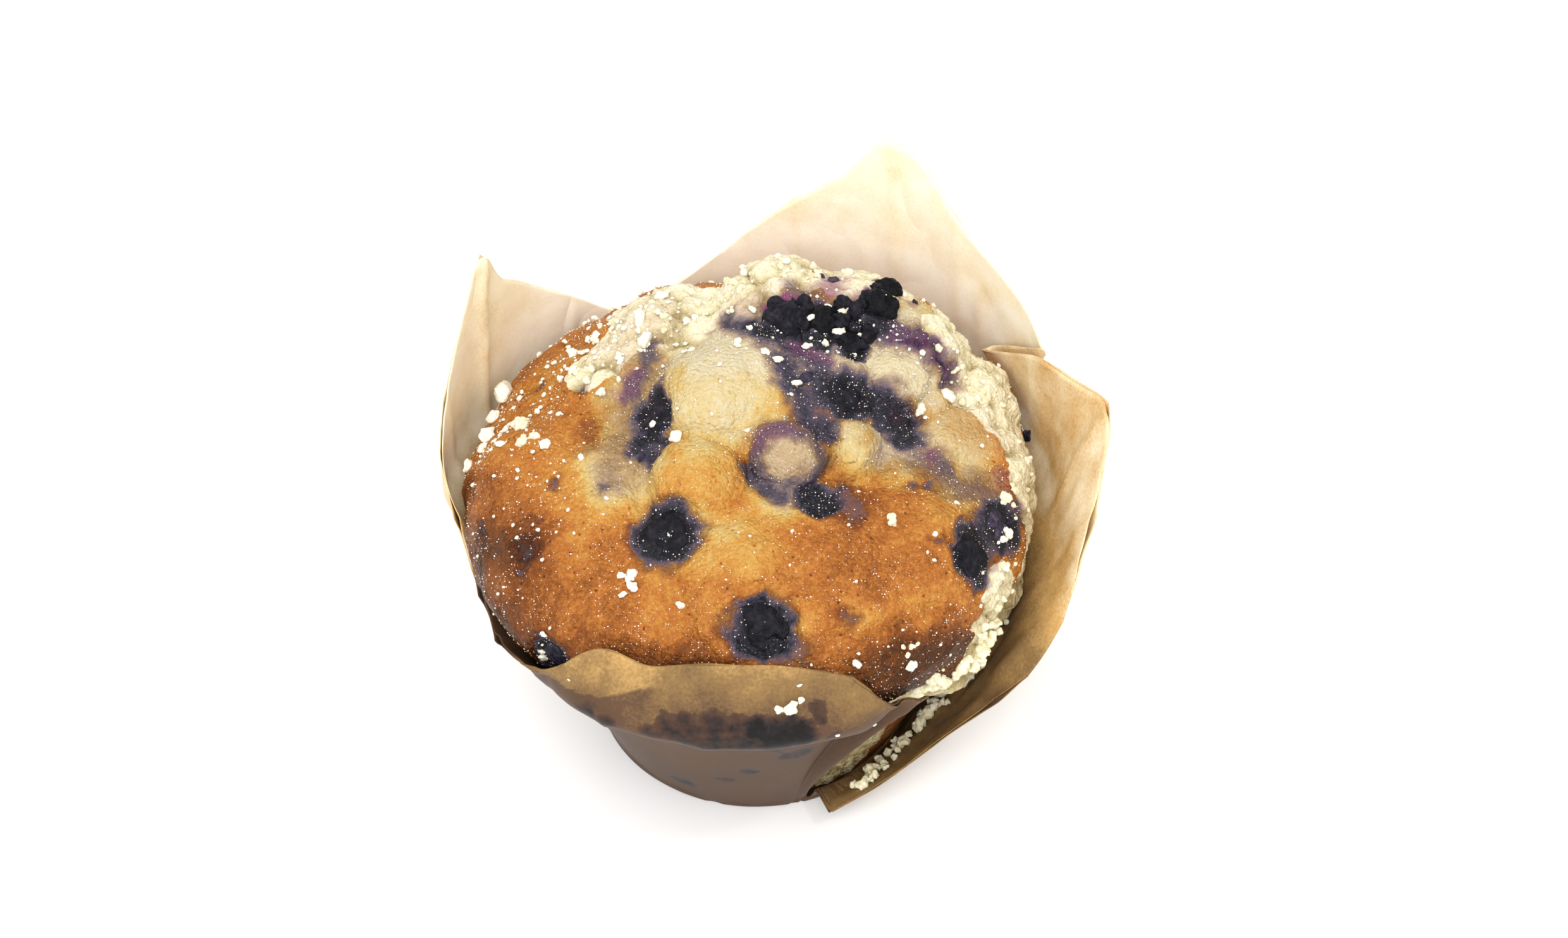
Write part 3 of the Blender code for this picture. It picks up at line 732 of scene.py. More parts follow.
drawnIn = 4 * np.interp(turned, rimBearings, rimDraws) * share * (1 - share)
points[:, :2] *= (1 - drawnIn / np.maximum(reach, 1))[:, None]
points += normals * push[:, None]
lowest = np.array(cadBox[0]) / mm + (paper["sheet"], paper["sheet"], 0)
highest = np.array(cadBox[1]) / mm - paper["sheet"]
points = np.clip(points, lowest, highest)
heel = np.interp(points[:, 2], *zip(*paper["heel"]))
points[:, :2] *= np.minimum(1, heel / np.maximum(np.hypot(points[:, 0], points[:, 1]), 1))[:, None]
writePoints(sheet, points)

paperColouring = {
    # painted shade along the sheet's creases
    "creaseShade": 0.05,
    "contact": 0.54,  # of fat in the wall that touches the muffin,
    "contactTop": 44,  # which it does up to about this height
    "frontMiddle": 258,
    "frontEnds": (52, 42),  # degrees from its middle
    "front": [  # height and the fat there: partly fat, partly painted shade that darkens the lower wall under the bulge
        (0, 0.7), (36, 0.69), (41, 0.67), (43, 0.62), (47, 0.54), (50, 0.5), (53, 0.47),
        (57, 0.43)],
    "lip": 0.23,
    "lipBearings": [(17, 20), (42, 38)],  # where the lip starts and ends
    "lipHeights": [(46, 49), (66, 62)],
    "lipReach": (47.6, 47.0),  # the lip lies inside this, the petal behind it outside
    "haze": 0.07,  # of fat round each mark
    "markEdge": (1.9, 0.5),  # a mark's radii between which it fades in, and the same for its haze
    "hazeEdge": (3.6, 1.0),
    "standsOff": (-75, -6),  # bearings between which the wall doesn't touch the muffin,
    "offTop": 0.21,  # the fat there at the top,
    "offFootShade": 0.26,  # how much darker the foot is painted, as painted shade,
    "offHeights": (54, 32),  # and where the one turns into the other
    "split": [  # height, bearing
        (3, 286), (8, 290.5), (15, 299), (22, 305), (30, 311), (38, 316), (44, 320)],
    "roll": [(222, 42.5), (232, 45.5), (244, 49.0), (252, 51.5)],  # bearing, height
    "rollEnds": [(218, 224), (256, 250)],
    # painted light above the front petal's roll and painted shade under it
    "rollPaintedLight": 0.12,
    "rollShade": 0.08,
    "grease": [  # bearings between which fat has soaked in, its lowest and highest point, amount; the rows high on the back and left petals (bearings 25 to 130 and 140 to 172) are painted shade that evens out the light at the tips
        (-60, 20, 44, 90, 0.28), (195, 290, -10, 45, 0.6), (146, 176, 30, 90, 0.12),
        (25, 130, 62, 95, 0.08), (140, 172, 58, 95, 0.12), (176, 205, 30, 60, 0.24),
        (21, 30, 50, 58, 0.26),
    ],
    # bearing, height, radius and strength of the berries and jam that show through the greasy paper
    "marks": [
        (275, 46.8, 2.5, 1), (272, 47.6, 2.1, 1), (278.5, 46.2, 2.1, 1), (277, 48.6, 1.5, 0.95),
        (275, 44.4, 2.2, 1), (279, 44.4, 1.6, 0.9), (271, 45.2, 1.8, 0.9), (253, 45.2, 1.7, 0.66),
        (256, 46.6, 2.1, 0.7), (260, 47.6, 2.1, 0.74), (264, 48.2, 1.9, 0.76), (268, 48, 1.9, 0.76),
        (259, 44.6, 2.4, 0.72), (264, 45.2, 2.5, 0.76), (268, 45, 2.2, 0.8), (264, 42.6, 2, 0.72),
        (269, 42.4, 2, 0.8), (275, 42.2, 1.8, 0.9), (280, 42.4, 1.5, 0.8), (280, 25.5, 2, 0.85),
        (282, 50, 1.3, 0.72), (282.5, 48.8, 1, 0.66), (269, 18.2, 1.9, 0.95),
        (262, 13.8, 1.5, 0.85), (241, 45.4, 1.8, 0.9), (245, 44.6, 1.4, 0.8), (247, 7.5, 2.2, 0.9),
        (284, 45.4, 0.9, 0.7), (286, 45.8, 0.7, 0.66), (283, 27.5, 1.4, 0.8),
        (275, 28.6, 1.4, 0.75), (266, 27, 1.2, 0.6), (200, 26, 3.5, 0.7), (170, 15, 3, 0.6),
        (135, 30, 4, 0.8), (100, 18, 3, 0.7), (60, 28, 4, 0.8), (20, 20, 3, 0.6), (75, 40, 2, 0.6),
        (150, 38, 2.5, 0.7), (300, 14, 2.4, 0.6), (226, 16, 2.6, 0.55),
    ],
    "mottle": 0.03,
    "sheenStreak": 0.03,
    # painted sheen: paler lines where the sheet stands off the batter: two bearings and heights,
    # half width
    "sheenStreaks": [(234, 20, 251, 25, 1.8), (251, 25, 268, 18, 1.5)],
}


def onPaper(bearing, height):
    # the point of the case's outside at a bearing and a height
    outward = Vector(aim(bearing, 0))
    start = outward * outside + Vector((0, 0, height * mm))
    hit = paperTree.ray_cast(start, -outward)
    return np.array(hit[0]) / mm


def withinSpan(low, high, outside, inside, wander):
    # 1 between two bearings and 0 beyond them, with a ragged change at either side
    half = (high - low) / 2
    away = np.abs(bearingGap(bearings, (low + high) / 2)) + wander * ragged
    return fade(half + outside, half - inside, away)


paperTree = surfaceTree(sheet)
ragged = rough(flatPoints, 9.0, 4, 61)
contactTop = paperColouring["contactTop"] + 2.0 * ragged
grease = paperColouring["contact"] * fade(contactTop + 9, contactTop - 16, heights)
for low, high, bottom, top, amount in paperColouring["grease"]:
    within = withinSpan(low, high, 9, 7, 3)
    within *= fade(bottom - 3, bottom + 3, heights) * fade(top + 4, top - 4, heights)
    grease = np.maximum(grease, amount * within)
away = withinSpan(*paperColouring["standsOff"], 20, 8, 5)
# fat at the top, with painted shade growing towards the foot
offGreaseAndShade = paperColouring["offTop"] + paperColouring["offFootShade"] * fade(
    *paperColouring["offHeights"], heights)
grease = grease * (1 - away) + offGreaseAndShade * away
# where the case overlaps itself at the back right, the lip in front belongs to the greasier wall
lip = fade(*paperColouring["lipReach"], reach)
for ends, value in (("lipBearings", bearings), ("lipHeights", heights)):
    for end in paperColouring[ends]:
        lip *= fade(*end, value)
grease = np.maximum(grease, paperColouring["lip"] * lip)
split = np.interp(heights, *zip(*paperColouring["split"]))
pastSplit = fade(-1, 1, bearingGap(bearings, split)) * fade(4, 7, heights)
fromFront = np.abs(bearingGap(bearings, paperColouring["frontMiddle"]))
onFront = fade(*paperColouring["frontEnds"], fromFront) * (1 - pastSplit)
# fat with painted shade on the front: darker low down, under the bulge
frontGreaseAndShade = np.interp(heights + 0.8 * ragged, *zip(*paperColouring["front"]))
grease = grease * (1 - onFront) + frontGreaseAndShade * onFront
# the front petal's edge is rolled outwards at the left: painted light above the roll, painted shade
# under it
roll = np.interp(bearings % 360, *zip(*paperColouring["roll"]))
onRoll = fade(30, 40, heights)
for end in paperColouring["rollEnds"]:
    onRoll *= fade(*end, bearings % 360)
shadeUnderRoll = grease + paperColouring["rollShade"] * onRoll * fade(roll - 6, roll, heights)
grease = np.where(heights > roll, grease * (1 - paperColouring["rollPaintedLight"] * onRoll), shadeUnderRoll)
# painted sheen: paler lines on the lower front wall
for startBearing, startHeight, endBearing, endHeight, halfWidth in paperColouring["sheenStreaks"]:
    aside = nearLine(flatPoints, onPaper(startBearing, startHeight), onPaper(endBearing, endHeight))
    grease -= paperColouring["sheenStreak"] * fade(halfWidth * 1.5, 0, aside + 0.5 * ragged)
grease += paperColouring["mottle"] * (ragged + rough(flatPoints, 2.5, 3, 62))
# painted shade along the creases
grease += paperColouring["creaseShade"] * creaseLines
marks = np.zeros(len(points))
haze = np.zeros(len(points))
stirred = stir(stir(flatPoints, 4.0, 1.0, 350), 1.4, 0.5, 351)
for bearing, height, radius, strength in paperColouring["marks"]:
    distance = np.linalg.norm(stirred - onPaper(bearing, height), axis=1) / radius
    marks = np.maximum(marks, strength * fade(*paperColouring["markEdge"], distance))
    haze = np.maximum(haze, strength * fade(*paperColouring["hazeEdge"], distance))
# the grease value holds the fat that soaked in together with painted shade and painted sheen
storeValues(sheet, grease=np.clip(grease + paperColouring["haze"] * haze, 0, 1), marks=marks)
useModifier(sheet, "SOLIDIFY", thickness=paper["sheet"] * mm, offset=-1.0)
points = readPoints(sheet)
points[:, 2] = np.maximum(points[:, 2], 0.0)
writePoints(sheet, points)


def paperMaterial():
    # greaseproof baking paper: thin, matt and pale, brown and see-through where fat soaked in
    settings = {"IOR": 1.45, "Specular IOR Level": 0.09}
    material, tree, place = newMaterial("greaseproofPaper", settings)
    # the grease value holds soaked-in fat together with painted shade and painted sheen
    greaseAndPaintedLightValue, marksValue = (
        addNode(tree, "Attribute", {"attribute_name": name}, out="Fac")
        for name in ("grease", "marks"))
    # sizes in mm: the sheet's fibres, the soaked paper's clouds and the marks' ragged edges
    fibres, cloudy, blotch = (
        addNode(tree, "TexNoise", {
            "Scale": 1 / (size * mm), "Detail": detail, "Roughness": fineShare}, {"Vector": place})
        for size, detail, fineShare in ((0.45, 4.0, 0.5), (5.0, 4.0, 0.5), (1.9, 6.0, 0.66)))
    grain, cloud = (
        addNode(tree, "Math", {"operation": "MULTIPLY_ADD", 1: 0.16, 2: -0.08}, {0: noisy})
        for noisy in (fibres, cloudy))
    soaked = addNode(tree, "Math", {"operation": "ADD"}, {0: greaseAndPaintedLightValue, 1: grain})
    soaked = addNode(tree, "Math", {"operation": "ADD"}, {0: soaked, 1: cloud})
    tint = addNode(tree, "ValToRGB", {"stops": [
        (0.0, "#f8f2de"), (0.15, "#ecdcb8"), (0.32, "#c39b5f"), (0.46, "#836740"),
        (0.60, "#574130"), (1.0, "#3a2d25")]}, {0: soaked})
    edge = addNode(tree, "Math", {"operation": "MULTIPLY_ADD", 1: 1.15, 2: -0.575}, {0: blotch})
    marked = addNode(tree, "Math", {"operation": "ADD"}, {0: marksValue, 1: edge})
    markTone = addNode(tree, "ValToRGB", {"stops": [
        (0.40, "#4c382c"), (0.66, "#3c2c26"), (0.86, "#232122"), (1.0, "#141518")]}, {0: marked})
    markMask = addNode(tree, "MapRange", {
        "From Min": 0.31, "From Max": 0.43, "To Max": 0.94}, {"Value": marked})
    colour = addNode(tree, "Mix", {"data_type": "RGBA"}, {0: markMask, 6: tint, 7: markTone})
    roughness = addNode(tree, "MapRange", {"To Min": 0.70, "To Max": 0.35}, {"Value": soaked})
    roughness = addNode(tree, "Mix", {"data_type": "FLOAT", 3: 0.40}, {0: markMask, 2: roughness})
    height = addNode(tree, "Math", {"operation": "MULTIPLY_ADD", 1: 0.5}, {0: blotch, 2: fibres})
    connect(tree, colour, roughness, height, 0.5, 0.06)
    return material


finishPiece(sheet, paperMaterial(), "baking_paper", "paper_case")
# the batter swells no further than the paper lets it
points = readPoints(body)
bodyReach = np.hypot(points[:, 0], points[:, 1])
for index in np.flatnonzero((points[:, 2] < paper["rimTop"]) & (bodyReach > paper["footReach"])):
    outward = np.array([points[index, 0], points[index, 1], 0]) / bodyReach[index]
    hit = paperTree.ray_cast(Vector((0, 0, points[index, 2] * mm)), Vector(outward))[0]
    if hit is not None:
        most = math.hypot(hit[0], hit[1]) / mm - paper["slack"]
        points[index, :2] *= min(1, most / bodyReach[index])
writePoints(body, points)
print("paper finished", len(sheet.data.polygons))


def berryMaterial():
    # cooked blueberry skin: nearly black, wrinkled and dull, glossy and violet where juice seeps
    settings = {"IOR": 1.42, "Specular IOR Level": 0.12}
    material, tree, place = newMaterial("cookedBerrySkin", settings)
    foldShadeValue, wetValue, violetValue = (
        addNode(tree, "Attribute", {"attribute_name": name}, out="Fac")
        for name in ("fold", "wet", "violet"))
    # sizes in mm: the uneven bloom on the skin and its pores
    bloom, pores = (
        addNode(tree, "TexNoise", {"Scale": 1 / (size * mm), "Detail": detail}, {"Vector": place})
        for size, detail in ((1.3, 5.0), (0.3, 3.0)))
    skin = addNode(tree, "ValToRGB", {"stops": [
        (0.30, "#08090b"), (0.50, "#0f1012"), (0.64, "#18191b"), (0.78, "#252529")]}, {0: bloom})
    violetTone = addNode(tree, "ValToRGB", {"stops": [
        (0.30, "#1e1b26"), (0.50, "#383244"), (0.66, "#544a59"), (0.80, "#6b5e6a")]}, {0: bloom})
    skin = addNode(tree, "Mix", {"data_type": "RGBA"}, {0: violetValue, 6: skin, 7: violetTone})
    # painted shade: the skin darker in its folds
    foldShadeShare = addNode(tree, "Math", {"operation": "MULTIPLY", 1: 0.6}, {0: foldShadeValue})
    colour = addNode(tree, "Mix", {
        "data_type": "RGBA", 7: linear("#0f0e12")}, {0: foldShadeShare, 6: skin})
    dull = addNode(tree, "MapRange", {
        "From Min": 0.3, "From Max": 0.7, "To Min": 0.45, "To Max": 0.65}, {"Value": bloom})
    roughness = addNode(tree, "Mix", {"data_type": "FLOAT", 3: 0.16}, {0: wetValue, 2: dull})
    height = addNode(tree, "Math", {"operation": "MULTIPLY_ADD", 1: 0.6}, {0: pores, 2: bloom})
    connect(tree, colour, roughness, height, 0.9, 0.40)
    return material


skinMaterial = berryMaterial()
for name, berry in berryPieces.items():
    finishPiece(berry, skinMaterial, "berry_skin", name)
print("berries finished")


draw = np.random.default_rng(12)


def lumpShape(level, sizes, seed, unevenness):
    # an uneven lump about 1 across: its corners and triangles
    bpy.ops.object.select_all(action="DESELECT")
    bpy.ops.mesh.primitive_ico_sphere_add(subdivisions=level, radius=0.5)
    made = bpy.context.object
    corners = readVectors(made.data.vertices, "co")
    corners *= (1 + unevenness * rough(corners, 0.45, 2, seed))[:, None] * np.array(sizes)
    faces = np.array([tuple(face.vertices) for face in made.data.polygons])
    bpy.data.objects.remove(made)
    return corners, faces


def randomTurn():
    axis = Vector(draw.normal(size=3)).normalized()
    return np.array(Matrix.Rotation(draw.uniform(0, 2 * math.pi), 3, axis))


def scatter(name, shapes, places):
    # one mesh of many turned copies of a few shapes
    # each place is a point, the way its ground faces, a size and a flatness
    corners, faces, count = [], [], 0
    for number, (point, outward, size, flatness) in enumerate(places):
        shapePoints, shapeFaces = shapes[number % len(shapes)]
        turned = shapePoints @ randomTurn().T * size
        turned -= (turned @ outward)[:, None] * outward * (1 - flatness)
        corners.append(point + turned)
        faces.append(shapeFaces + count)
        count += len(shapePoints)
    mesh = bpy.data.meshes.new(name)
    mesh.from_pydata((np.concatenate(corners) * mm).tolist(), [], np.concatenate(faces).tolist())
    piece = bpy.data.objects.new(name, mesh)
    bpy.context.scene.collection.objects.link(piece)
    return piece


def onTop(trees, bearing, elevation):
    # the outermost surface of the muffin or a berry at a bearing and an elevation
    outward = Vector(aim(bearing, elevation))
    start = Vector(core) * mm + outward * outside
    hits = [tree.ray_cast(start, -outward) for tree in trees]
    hit = min((h for h in hits if h[0] is not None), key=lambda h: h[3])
    return np.array(hit[0]) / mm, np.array(hit[1])


topTrees = [crownTree] + [surfaceTree(berry) for berry in berryPieces.values()]

nibs = {
    "placed": [  # bearing, elevation and size of the larger sugar nibs
        (158, 13, 4.6), (166, 14, 2.4), (173, 16, 3.2), (176, 15, 1.9), (178, 11, 2.2),
        (-177, 24, 1.4), (-173, 31, 1.6), (158, 33, 1.9), (160, 30, 1.3), (141, 30, 1.7),
        (148, 27, 2.2), (151, 43, 1.4), (132, 41, 2.8), (136, 43, 3), (121, 40, 2), (119, 47, 1.6),
        (115, 47, 1.2), (168, 42, 1.8), (-152, 61, 2), (-172, 55, 1.2), (104, 72, 1.4),
        (106, 74, 1.2), (74, 77, 1.5), (53, 77, 1.4), (11, 76, 1.6), (56, 61, 1.2), (48, 65, 1.5),
        (48, 56, 1.2), (41, 57, 2.2), (43, 60, 1.3), (36, 52, 1.2), (22, 41, 1), (12, 32, 2.6),
        (14, 31, 2), (8, 36, 2.1), (47, 51, 2), (50, 52, 1.4), (-39, 28, 1), (-21, 15, 1.8),
        (-23, 15, 1.3), (-135, 2, 1.4), (-135, 4, 1.1), (-117, 14, 0.9), (-122, 26.4, 1.6),
        (-120.4, 24.4, 1.8), (-124, 25.6, 1.2), (-122, 25.6, 1.5), (-121, 23.2, 1.1),
        (-107, 24, 1.4), (-58, 9, 1.8), (-133, 11, 1), (-24, 26, 0.9), (-96, 75, 0.9),
        (-165, 36, 1), (-69, 14, 1.3), (92, 66, 1),
    ],
    "strewn": [  # bearing, elevation, spread in mm, number, smallest and largest size
        (150, 32, 6, 40, 0.4, 1.2), (165, 22, 6, 34, 0.4, 1.2), (136, 40, 7, 46, 0.4, 1.2),
        (120, 44, 6, 26, 0.3, 0.9), (178, 20, 5, 30, 0.3, 1), (-175, 28, 6, 26, 0.3, 0.9),
        (-152, 27, 5, 20, 0.3, 0.8), (50, 58, 6, 34, 0.3, 0.8), (30, 44, 6, 26, 0.3, 0.7),
        (12, 36, 5, 16, 0.3, 0.8), (-150, 12, 10, 22, 0.3, 0.8), (-60, 30, 18, 26, 0.3, 0.7),
        (85, 72, 8, 18, 0.3, 0.8), (-80, 60, 18, 24, 0.3, 0.6), (60, 30, 16, 40, 0.3, 1.6),
        (105, 25, 16, 40, 0.3, 1.8), (140, 15, 12, 30, 0.3, 1.4), (15, 10, 12, 20, 0.3, 1.2),
    ],
    "onPaper": [  # bearing, height and size of those that lie on the case's outside
        (277, 50.8, 2.6), (275, 50.6, 1.6), (279, 51.6, 1.4), (279, 53.6, 0.7), (285, 45, 0.6),
        (293, 42, 0.6), (236, 48, 0.5),
    ],
    "sunk": 0.22,  # share of a nib that is pressed into the batter
}
lumps = [lumpShape(3, (1.05, 0.88, 0.68), 400 + i, 0.55) for i in range(6)]
grains = [lumpShape(2, (1.05, 0.85, 0.7), 410 + i, 0.50) for i in range(6)]


def strewnPlaces(rows, sunk, flatness=0.8):
    found = []
    vertices = readPoints(body)
    facing = readNormals(body)
    for bearing, elevation, spread, number, smallest, largest in rows:
        centre = onCrown(bearing, elevation)[0]
        weight = np.exp(-(np.linalg.norm(vertices - centre, axis=1) / spread) ** 2)
        weight *= vertices[:, 2] > 38
        for index in draw.choice(len(vertices), number, p=weight / weight.sum()):
            size = smallest + (largest - smallest) * draw.uniform() ** 2
            place = vertices[index] + facing[index] * size * (0.5 - sunk)
            found.append((place, facing[index], size, flatness))
    return found


nibPlaces = []
for bearing, elevation, size in nibs["placed"]:
    point, outward = onTop(topTrees, bearing, elevation)
    nibPlaces.append((point + outward * size * (0.4 - nibs["sunk"]), outward, size, 0.75))
for bearing, height, size in nibs["onPaper"]:
    outward = aim(bearing, 0)
    nibPlaces.append((onPaper(bearing, height) + outward * size * 0.15, outward, size, 0.45))
sugarNibs = scatter("sugarNibs", lumps, nibPlaces)
sugarGrains = scatter("sugarGrains", grains, strewnPlaces(nibs["strewn"], nibs["sunk"]))


def sugarMaterial():
    # pearl sugar: pressed white grains, matt and a little translucent
    material, tree, place = newMaterial("pearlSugar", {
        "IOR": 1.5, "Subsurface Weight": 0.35, "Subsurface Radius": (1.0, 0.9, 0.75),
        "Subsurface Scale": 0.8 * mm})
    grain = addNode(tree, "TexNoise", {"Scale": 1 / (0.35 * mm), "Detail": 3.0}, {"Vector": place})
    tone = addNode(tree, "ValToRGB", {"stops": [
        (0.30, "#dccfae"), (0.48, "#ece4cd"), (0.65, "#f7f2e4")]}, {0: grain})
    roughness = addNode(tree, "MapRange", {"To Min": 0.35, "To Max": 0.75}, {"Value": grain})
    connect(tree, tone, roughness, grain, 0.8, 0.18)
    return material


sugarFinish = sugarMaterial()
for piece in (sugarNibs, sugarGrains):
    finishPiece(piece, sugarFinish, "baked_batter")
print("sugar laid")

crumbs = {
    "strewn": [  # bearing, elevation, spread in mm, number, smallest and largest size
        (157, 37, 3, 10, 0.4, 1.3), (141, 37, 3.5, 12, 0.4, 1.4), (124, 43, 4.5, 16, 0.4, 1.3),
        (103, 46, 5, 16, 0.4, 1.3), (80, 48, 5, 14, 0.4, 1.2), (62, 44, 4, 10, 0.4, 1.2),
        (22, 30, 3.5, 8, 0.4, 1.2), (15, 23, 3.5, 10, 0.4, 1.3), (3, 16, 3.5, 10, 0.4, 1.3),
        (-9, 12, 3, 6, 0.4, 1.2), (-14, 18, 1, 5, 0.8, 1.6), (-31, 8, 3.5, 12, 0.5, 1.6),
        (-37, -2, 4, 20, 0.6, 2.2), (-43, -9, 4.5, 24, 0.6, 2.4), (178, 26, 1.5, 7, 1.2, 2.2),
        (-176, 29, 1, 4, 1, 2), (-44, 34, 0.6, 3, 0.8, 1.5), (-58, 12, 2, 5, 0.5, 0.9),
        (-50, -25, 4, 16, 0.8, 2.2),
    ],
    "valley": [  # along the foot of the wall that stands off at the right: bearing, height and size
        (346, 31, 2.6), (345, 29, 3.4), (343, 26.5, 3), (341, 24.5, 3.6), (339, 22.5, 3.4),
        (337, 20.5, 3.8), (335, 18, 3.4),
               (332, 14.5, 2.6), (330, 12, 2), (328, 11, 2.8), (325, 10, 2.6), (321, 9, 2.2),
               (318, 8.5, 2.2), (313, 8, 2), (308, 9, 2.4), (304, 9.5, 2.2), (300, 9.5, 2),
               (350, 33, 2.4), (343, 30, 2.2), (336, 24, 2.4),
    ],
    "together": 7,  # lumps in each clod
    "spreadAround": 1.4,  # in degrees
    "spreadUp": 1.1,
    "voxel": 0.22,  # of the remesh that makes touching lumps one crumbly mass
    "relief": [(1.3, 0.22), (0.6, 0.14)],
}


def inCase(bearing, height):
    # the point of the case's inside at a bearing and a height
    outward = Vector(aim(bearing, 0))
    hit = paperTree.ray_cast(Vector((0, 0, height * mm)), outward)
    return (np.array(hit[0]) / mm if hit[0] else None), -np.array(outward)


crumbPlaces = strewnPlaces(crumbs["strewn"], 0.35, 1.0)
for bearing, height, size in crumbs["valley"]:
    for _ in range(crumbs["together"]):
        point, inward = inCase(bearing + draw.normal() * crumbs["spreadAround"],
                               height + draw.normal() * crumbs["spreadUp"])
        part = size * draw.uniform(0.32, 0.66)
        if point is not None:
            crumbPlaces.append((point + inward * part * draw.uniform(0.62, 0.9), inward, part, 1.0))
crumbShapes = [lumpShape(3, (1.0, 0.9, 0.8), 420 + i, 0.7) for i in range(5)]
looseCrumbs = scatter("looseCrumbs", crumbShapes, crumbPlaces)
pickOnly(looseCrumbs)
looseCrumbs.data.remesh_voxel_size = crumbs["voxel"] * mm
bpy.ops.object.voxel_remesh()
points = readPoints(looseCrumbs)
lift = relief(points, crumbs["relief"], 450, 0.5)
writePoints(looseCrumbs, points + readNormals(looseCrumbs) * lift[:, None])


def crumbMaterial():
    # torn crumb: soft pale cake full of small holes, quite matt
    material, tree, place = newMaterial("openCrumb", {
        "IOR": 1.4, "Subsurface Weight": 0.2, "Subsurface Radius": (1.0, 0.8, 0.5),
        "Subsurface Scale": 1.2 * mm})
    holes = addNode(tree, "TexNoise", {
        "Scale": 1 / (0.8 * mm), "Detail": 4.0, "Roughness": 0.6}, {"Vector": place})
    # painted shade: the crumb darker in its holes, where the bump sinks the surface
    tone = addNode(tree, "ValToRGB", {"stops": [
        (0.30, "#c4b588"), (0.45, "#dfd5ae"), (0.60, "#ede5c8"), (0.75, "#f6f1dc")]}, {0: holes})
    roughness = addNode(tree, "MapRange", {"To Min": 0.75, "To Max": 0.95}, {"Value": holes})
    connect(tree, tone, roughness, holes, 1.0, 0.35)
    return material


finishPiece(looseCrumbs, crumbMaterial(), "baked_batter")
print("crumbs laid", len(looseCrumbs.data.polygons))

glints = {
    "number": 8000,
    "patchSize": 6.0,
    "moreWhereWet": 0.3,
    "lowest": 42,
    "smallest": 0.10,
    "largest": 0.30,
    "onBerries": (
        "berry_left", "berry_middle", "berry_middle_right", "berry_crease", "berry_front_left",
        "berry_front", "berry_right", "berry_top_1", "berry_top_4"),
    "onDry": 3.2,  # number on a berry that is quite dry, and how many more on one that is quite wet
    "onWet": 56,
}


def glintPlaces():
    # sugar crystals stuck all over the crust, thickest where it is wet, none on the torn crumb
    vertices, facing = readPoints(body), readNormals(body)
    patches = fade(-0.2, 0.4, rough(vertices, glints["patchSize"], 3, 431))
    weight = 0.35 + 0.65 * patches + glints["moreWhereWet"] * juice
    weight *= (vertices[:, 2] > glints["lowest"]) * (1 - torn)
    chosen = draw.choice(len(vertices), glints["number"], p=weight / weight.sum())
    found = [(vertices[i], facing[i]) for i in chosen]
    for name in glints["onBerries"]:
        skin, skinFacing = readPoints(berryPieces[name]), readNormals(berryPieces[name])
        count = int(glints["onDry"] + glints["onWet"] * berries[name][2])
        found += [(skin[i], skinFacing[i]) for i in draw.choice(len(skin), count)]
    share = draw.uniform(size=len(found)) ** 2
    sizes = glints["smallest"] + (glints["largest"] - glints["smallest"]) * share
    return [(point + outward * size * 0.25, outward, size, 1.0)
            for (point, outward), size in zip(found, sizes)]


def crystalShape():
    # eight-sided, like two pyramids base to base
    corners = np.array([(1, 0, 0), (-1, 0, 0), (0, 1, 0), (0, -1, 0), (0, 0, 1), (0, 0, -1)]) * 0.5
    faces = [(0, 2, 4), (2, 1, 4), (1, 3, 4), (3, 0, 4), (2, 0, 5), (1, 2, 5), (3, 1, 5), (0, 3, 5)]
    return corners * (1.0, 0.8, 0.9), np.array(faces)


def crystalMaterial():
    # sugar crystals: clear and glossy, so that each shows as a bright point
    material, tree, place = newMaterial("sugarCrystal", {"IOR": 1.54})
    patch = addNode(tree, "TexNoise", {"Scale": 1 / (0.5 * mm), "Detail": 1.0}, {"Vector": place})
    tone = addNode(tree, "ValToRGB", {"stops": [
        (0.35, "#e8c9a0"), (0.50, "#f3e3cb"), (0.62, "#ffffff")]}, {0: patch})
    roughness = addNode(tree, "MapRange", {"To Min": 0.08, "To Max": 0.25}, {"Value": patch})
    connect(tree, tone, roughness)
    return material


sugarCrystals = scatter("sugarCrystals", [crystalShape()], glintPlaces())
finishPiece(sugarCrystals, crystalMaterial(), "baked_batter", smooth=False)
print("crystals laid", len(sugarCrystals.data.polygons))

pulp = {
    "placed": [  # bearing, elevation and size of the burst lumps between the berries on the ridge
        (64, 58, 3.4), (60, 62, 2.6), (47, 55, 3.6), (44, 51, 3.2), (36, 50, 3), (33, 54, 2.6),
        (46, 48, 2.8), (52, 51, 2.6),
               (78, 60, 2.4), (40, 57, 2.4), (49, 42, 2.2),
    ],
    "lifted": 0.18,  # share of its size
}
pulpPlaces = []
for bearing, elevation, size in pulp["placed"]:
    point, outward = onTop([crownTree], bearing, elevation)
    pulpPlaces.append((point + outward * pulp["lifted"] * size, outward, size, 0.8))
pulpShapes = [lumpShape(5, (1.0, 0.9, 0.8), 460 + i, 0.5) for i in range(4)]
berryPulp = scatter("berryPulp", pulpShapes, pulpPlaces)
storeValues(berryPulp, violet=0.12, wet=0.15, fold=0)
finishPiece(berryPulp, skinMaterial, "berry_skin")

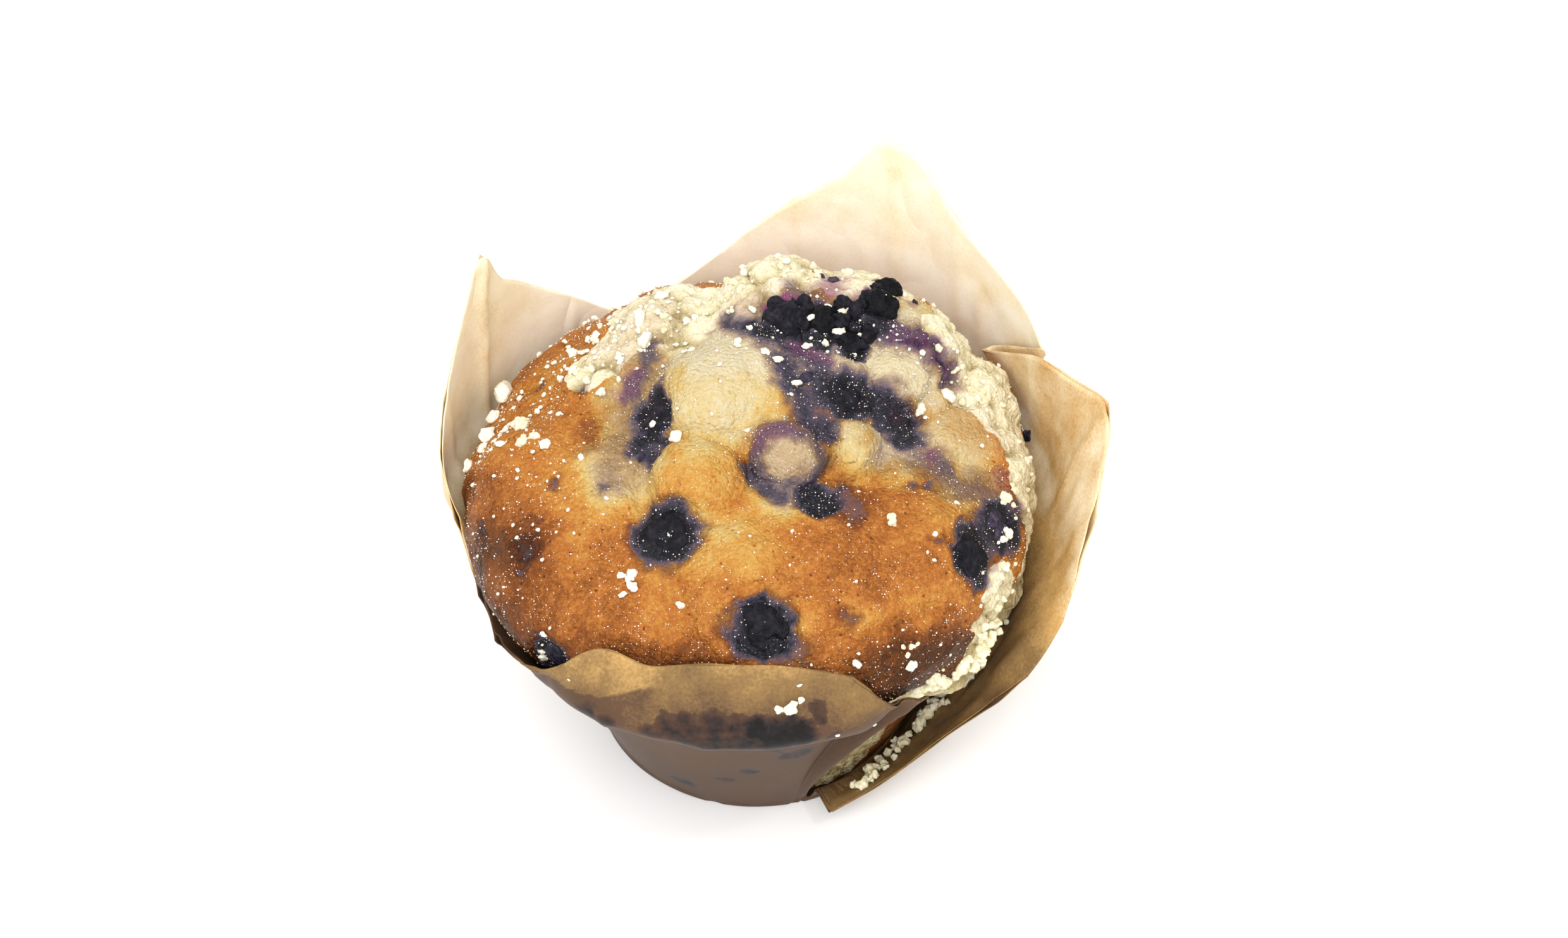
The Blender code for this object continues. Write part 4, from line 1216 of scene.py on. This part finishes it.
shreds = {
    "placed": [  # bearing, elevation, size and flatness of bits of burst berry skin
        (20, 72, 2.2, 0.5), (62, 46, 1.6, 0.6), (66, 47, 1, 0.7), (78, 59, 1.6, 0.5),
        (70, 58, 1.2, 0.5), (41, 36, 1.3, 0.6),
               (25, 42, 1, 0.5), (21, 35, 1.1, 0.5), (96, 64, 1.3, 0.4), (-157, 47, 1.6, 0.5),
               (-171, 50, 1.4, 0.5), (-18, 15, 1.6, 0.5),
    ],
    "onPaper": [(18, 44.6, 2.6, 0.5)],
    "lifted": 0.1,
}
shredPlaces = []
for bearing, elevation, size, flatness in shreds["placed"]:
    point, outward = onTop(topTrees, bearing, elevation)
    shredPlaces.append((point + outward * shreds["lifted"] * size, outward, size, flatness))
for bearing, height, size, flatness in shreds["onPaper"]:
    point, inward = inCase(bearing, height)
    shredPlaces.append((point + inward * shreds["lifted"] * size, inward, size, flatness))
shredShapes = [lumpShape(4, (1.0, 0.8, 0.6), 440 + i, 0.6) for i in range(3)]
skinShreds = scatter("skinShreds", shredShapes, shredPlaces)
storeValues(skinShreds, violet=0.7, wet=0.6, fold=0)
finishPiece(skinShreds, skinMaterial, "berry_skin")
print("shreds laid")


camera = {
    "elevation": 46.0,
    "distance": 320.0,
    "lens": 48.0,
    "sensor": 36.0,
    "target": (4.7, 0.0, 51.5),
}
studio = {
    "floor": "#f4f3f1",
    "floorSize": 6.0,  # in metres
    "lights": {  # bearing, elevation, size, distance, power and colour
        "key": (-65, 68, 380, 700, 1.3, "#fffaf4"),
        "fill": (-104, 47, 600, 800, 4.0, "#f8faff"),
        "top": (160, 72, 500, 800, 0.9, "#ffffff"),
        "spark": (-45, 62, 40, 700, 0.3, "#ffffff"),
    },
    "world": 1.0,
}


def addLight(name, bearing, elevation, size, distance, power, colour):
    data = bpy.data.lights.new(name, "AREA")
    data.shape = "DISK"
    data.size = size * mm
    data.energy = power
    data.color = linear(colour)[:3]
    lamp = bpy.data.objects.new(name, data)
    bpy.context.scene.collection.objects.link(lamp)
    outward = Vector(aim(bearing, elevation))
    lamp.location = outward * distance * mm
    lamp.rotation_euler = outward.to_track_quat("Z", "Y").to_euler()


for lightName, settings in studio["lights"].items():
    addLight(lightName, *settings)
world = bpy.data.worlds.new("studio")
world.use_nodes = True
background = world.node_tree.nodes["Background"].inputs
background["Color"].default_value = (1, 1, 1, 1)
background["Strength"].default_value = studio["world"]
bpy.context.scene.world = world

bpy.ops.object.select_all(action="DESELECT")
bpy.ops.mesh.primitive_plane_add(size=studio["floorSize"])
floor = bpy.context.object
floor.name = "floor"
board = bpy.data.materials.new("paleFloor")  # a pale matt board
board.use_nodes = True
boardShader = board.node_tree.nodes["Principled BSDF"].inputs
boardShader["Base Color"].default_value = linear(studio["floor"])
boardShader["Roughness"].default_value = 0.9
floor.data.materials.append(board)

lensData = bpy.data.cameras.new("camera")
lensData.lens = camera["lens"]
lensData.sensor_width = camera["sensor"]
lensData.clip_start = 0.01
eye = bpy.data.objects.new("camera", lensData)
bpy.context.scene.collection.objects.link(eye)
back = Vector(aim(-90, camera["elevation"]))
eye.location = (Vector(camera["target"]) + back * camera["distance"]) * mm
eye.rotation_euler = back.to_track_quat("Z", "Y").to_euler()
bpy.context.scene.camera = eye
bpy.context.scene.view_settings.view_transform = "Standard"
bpy.context.view_layer.update()
print("stage ready")
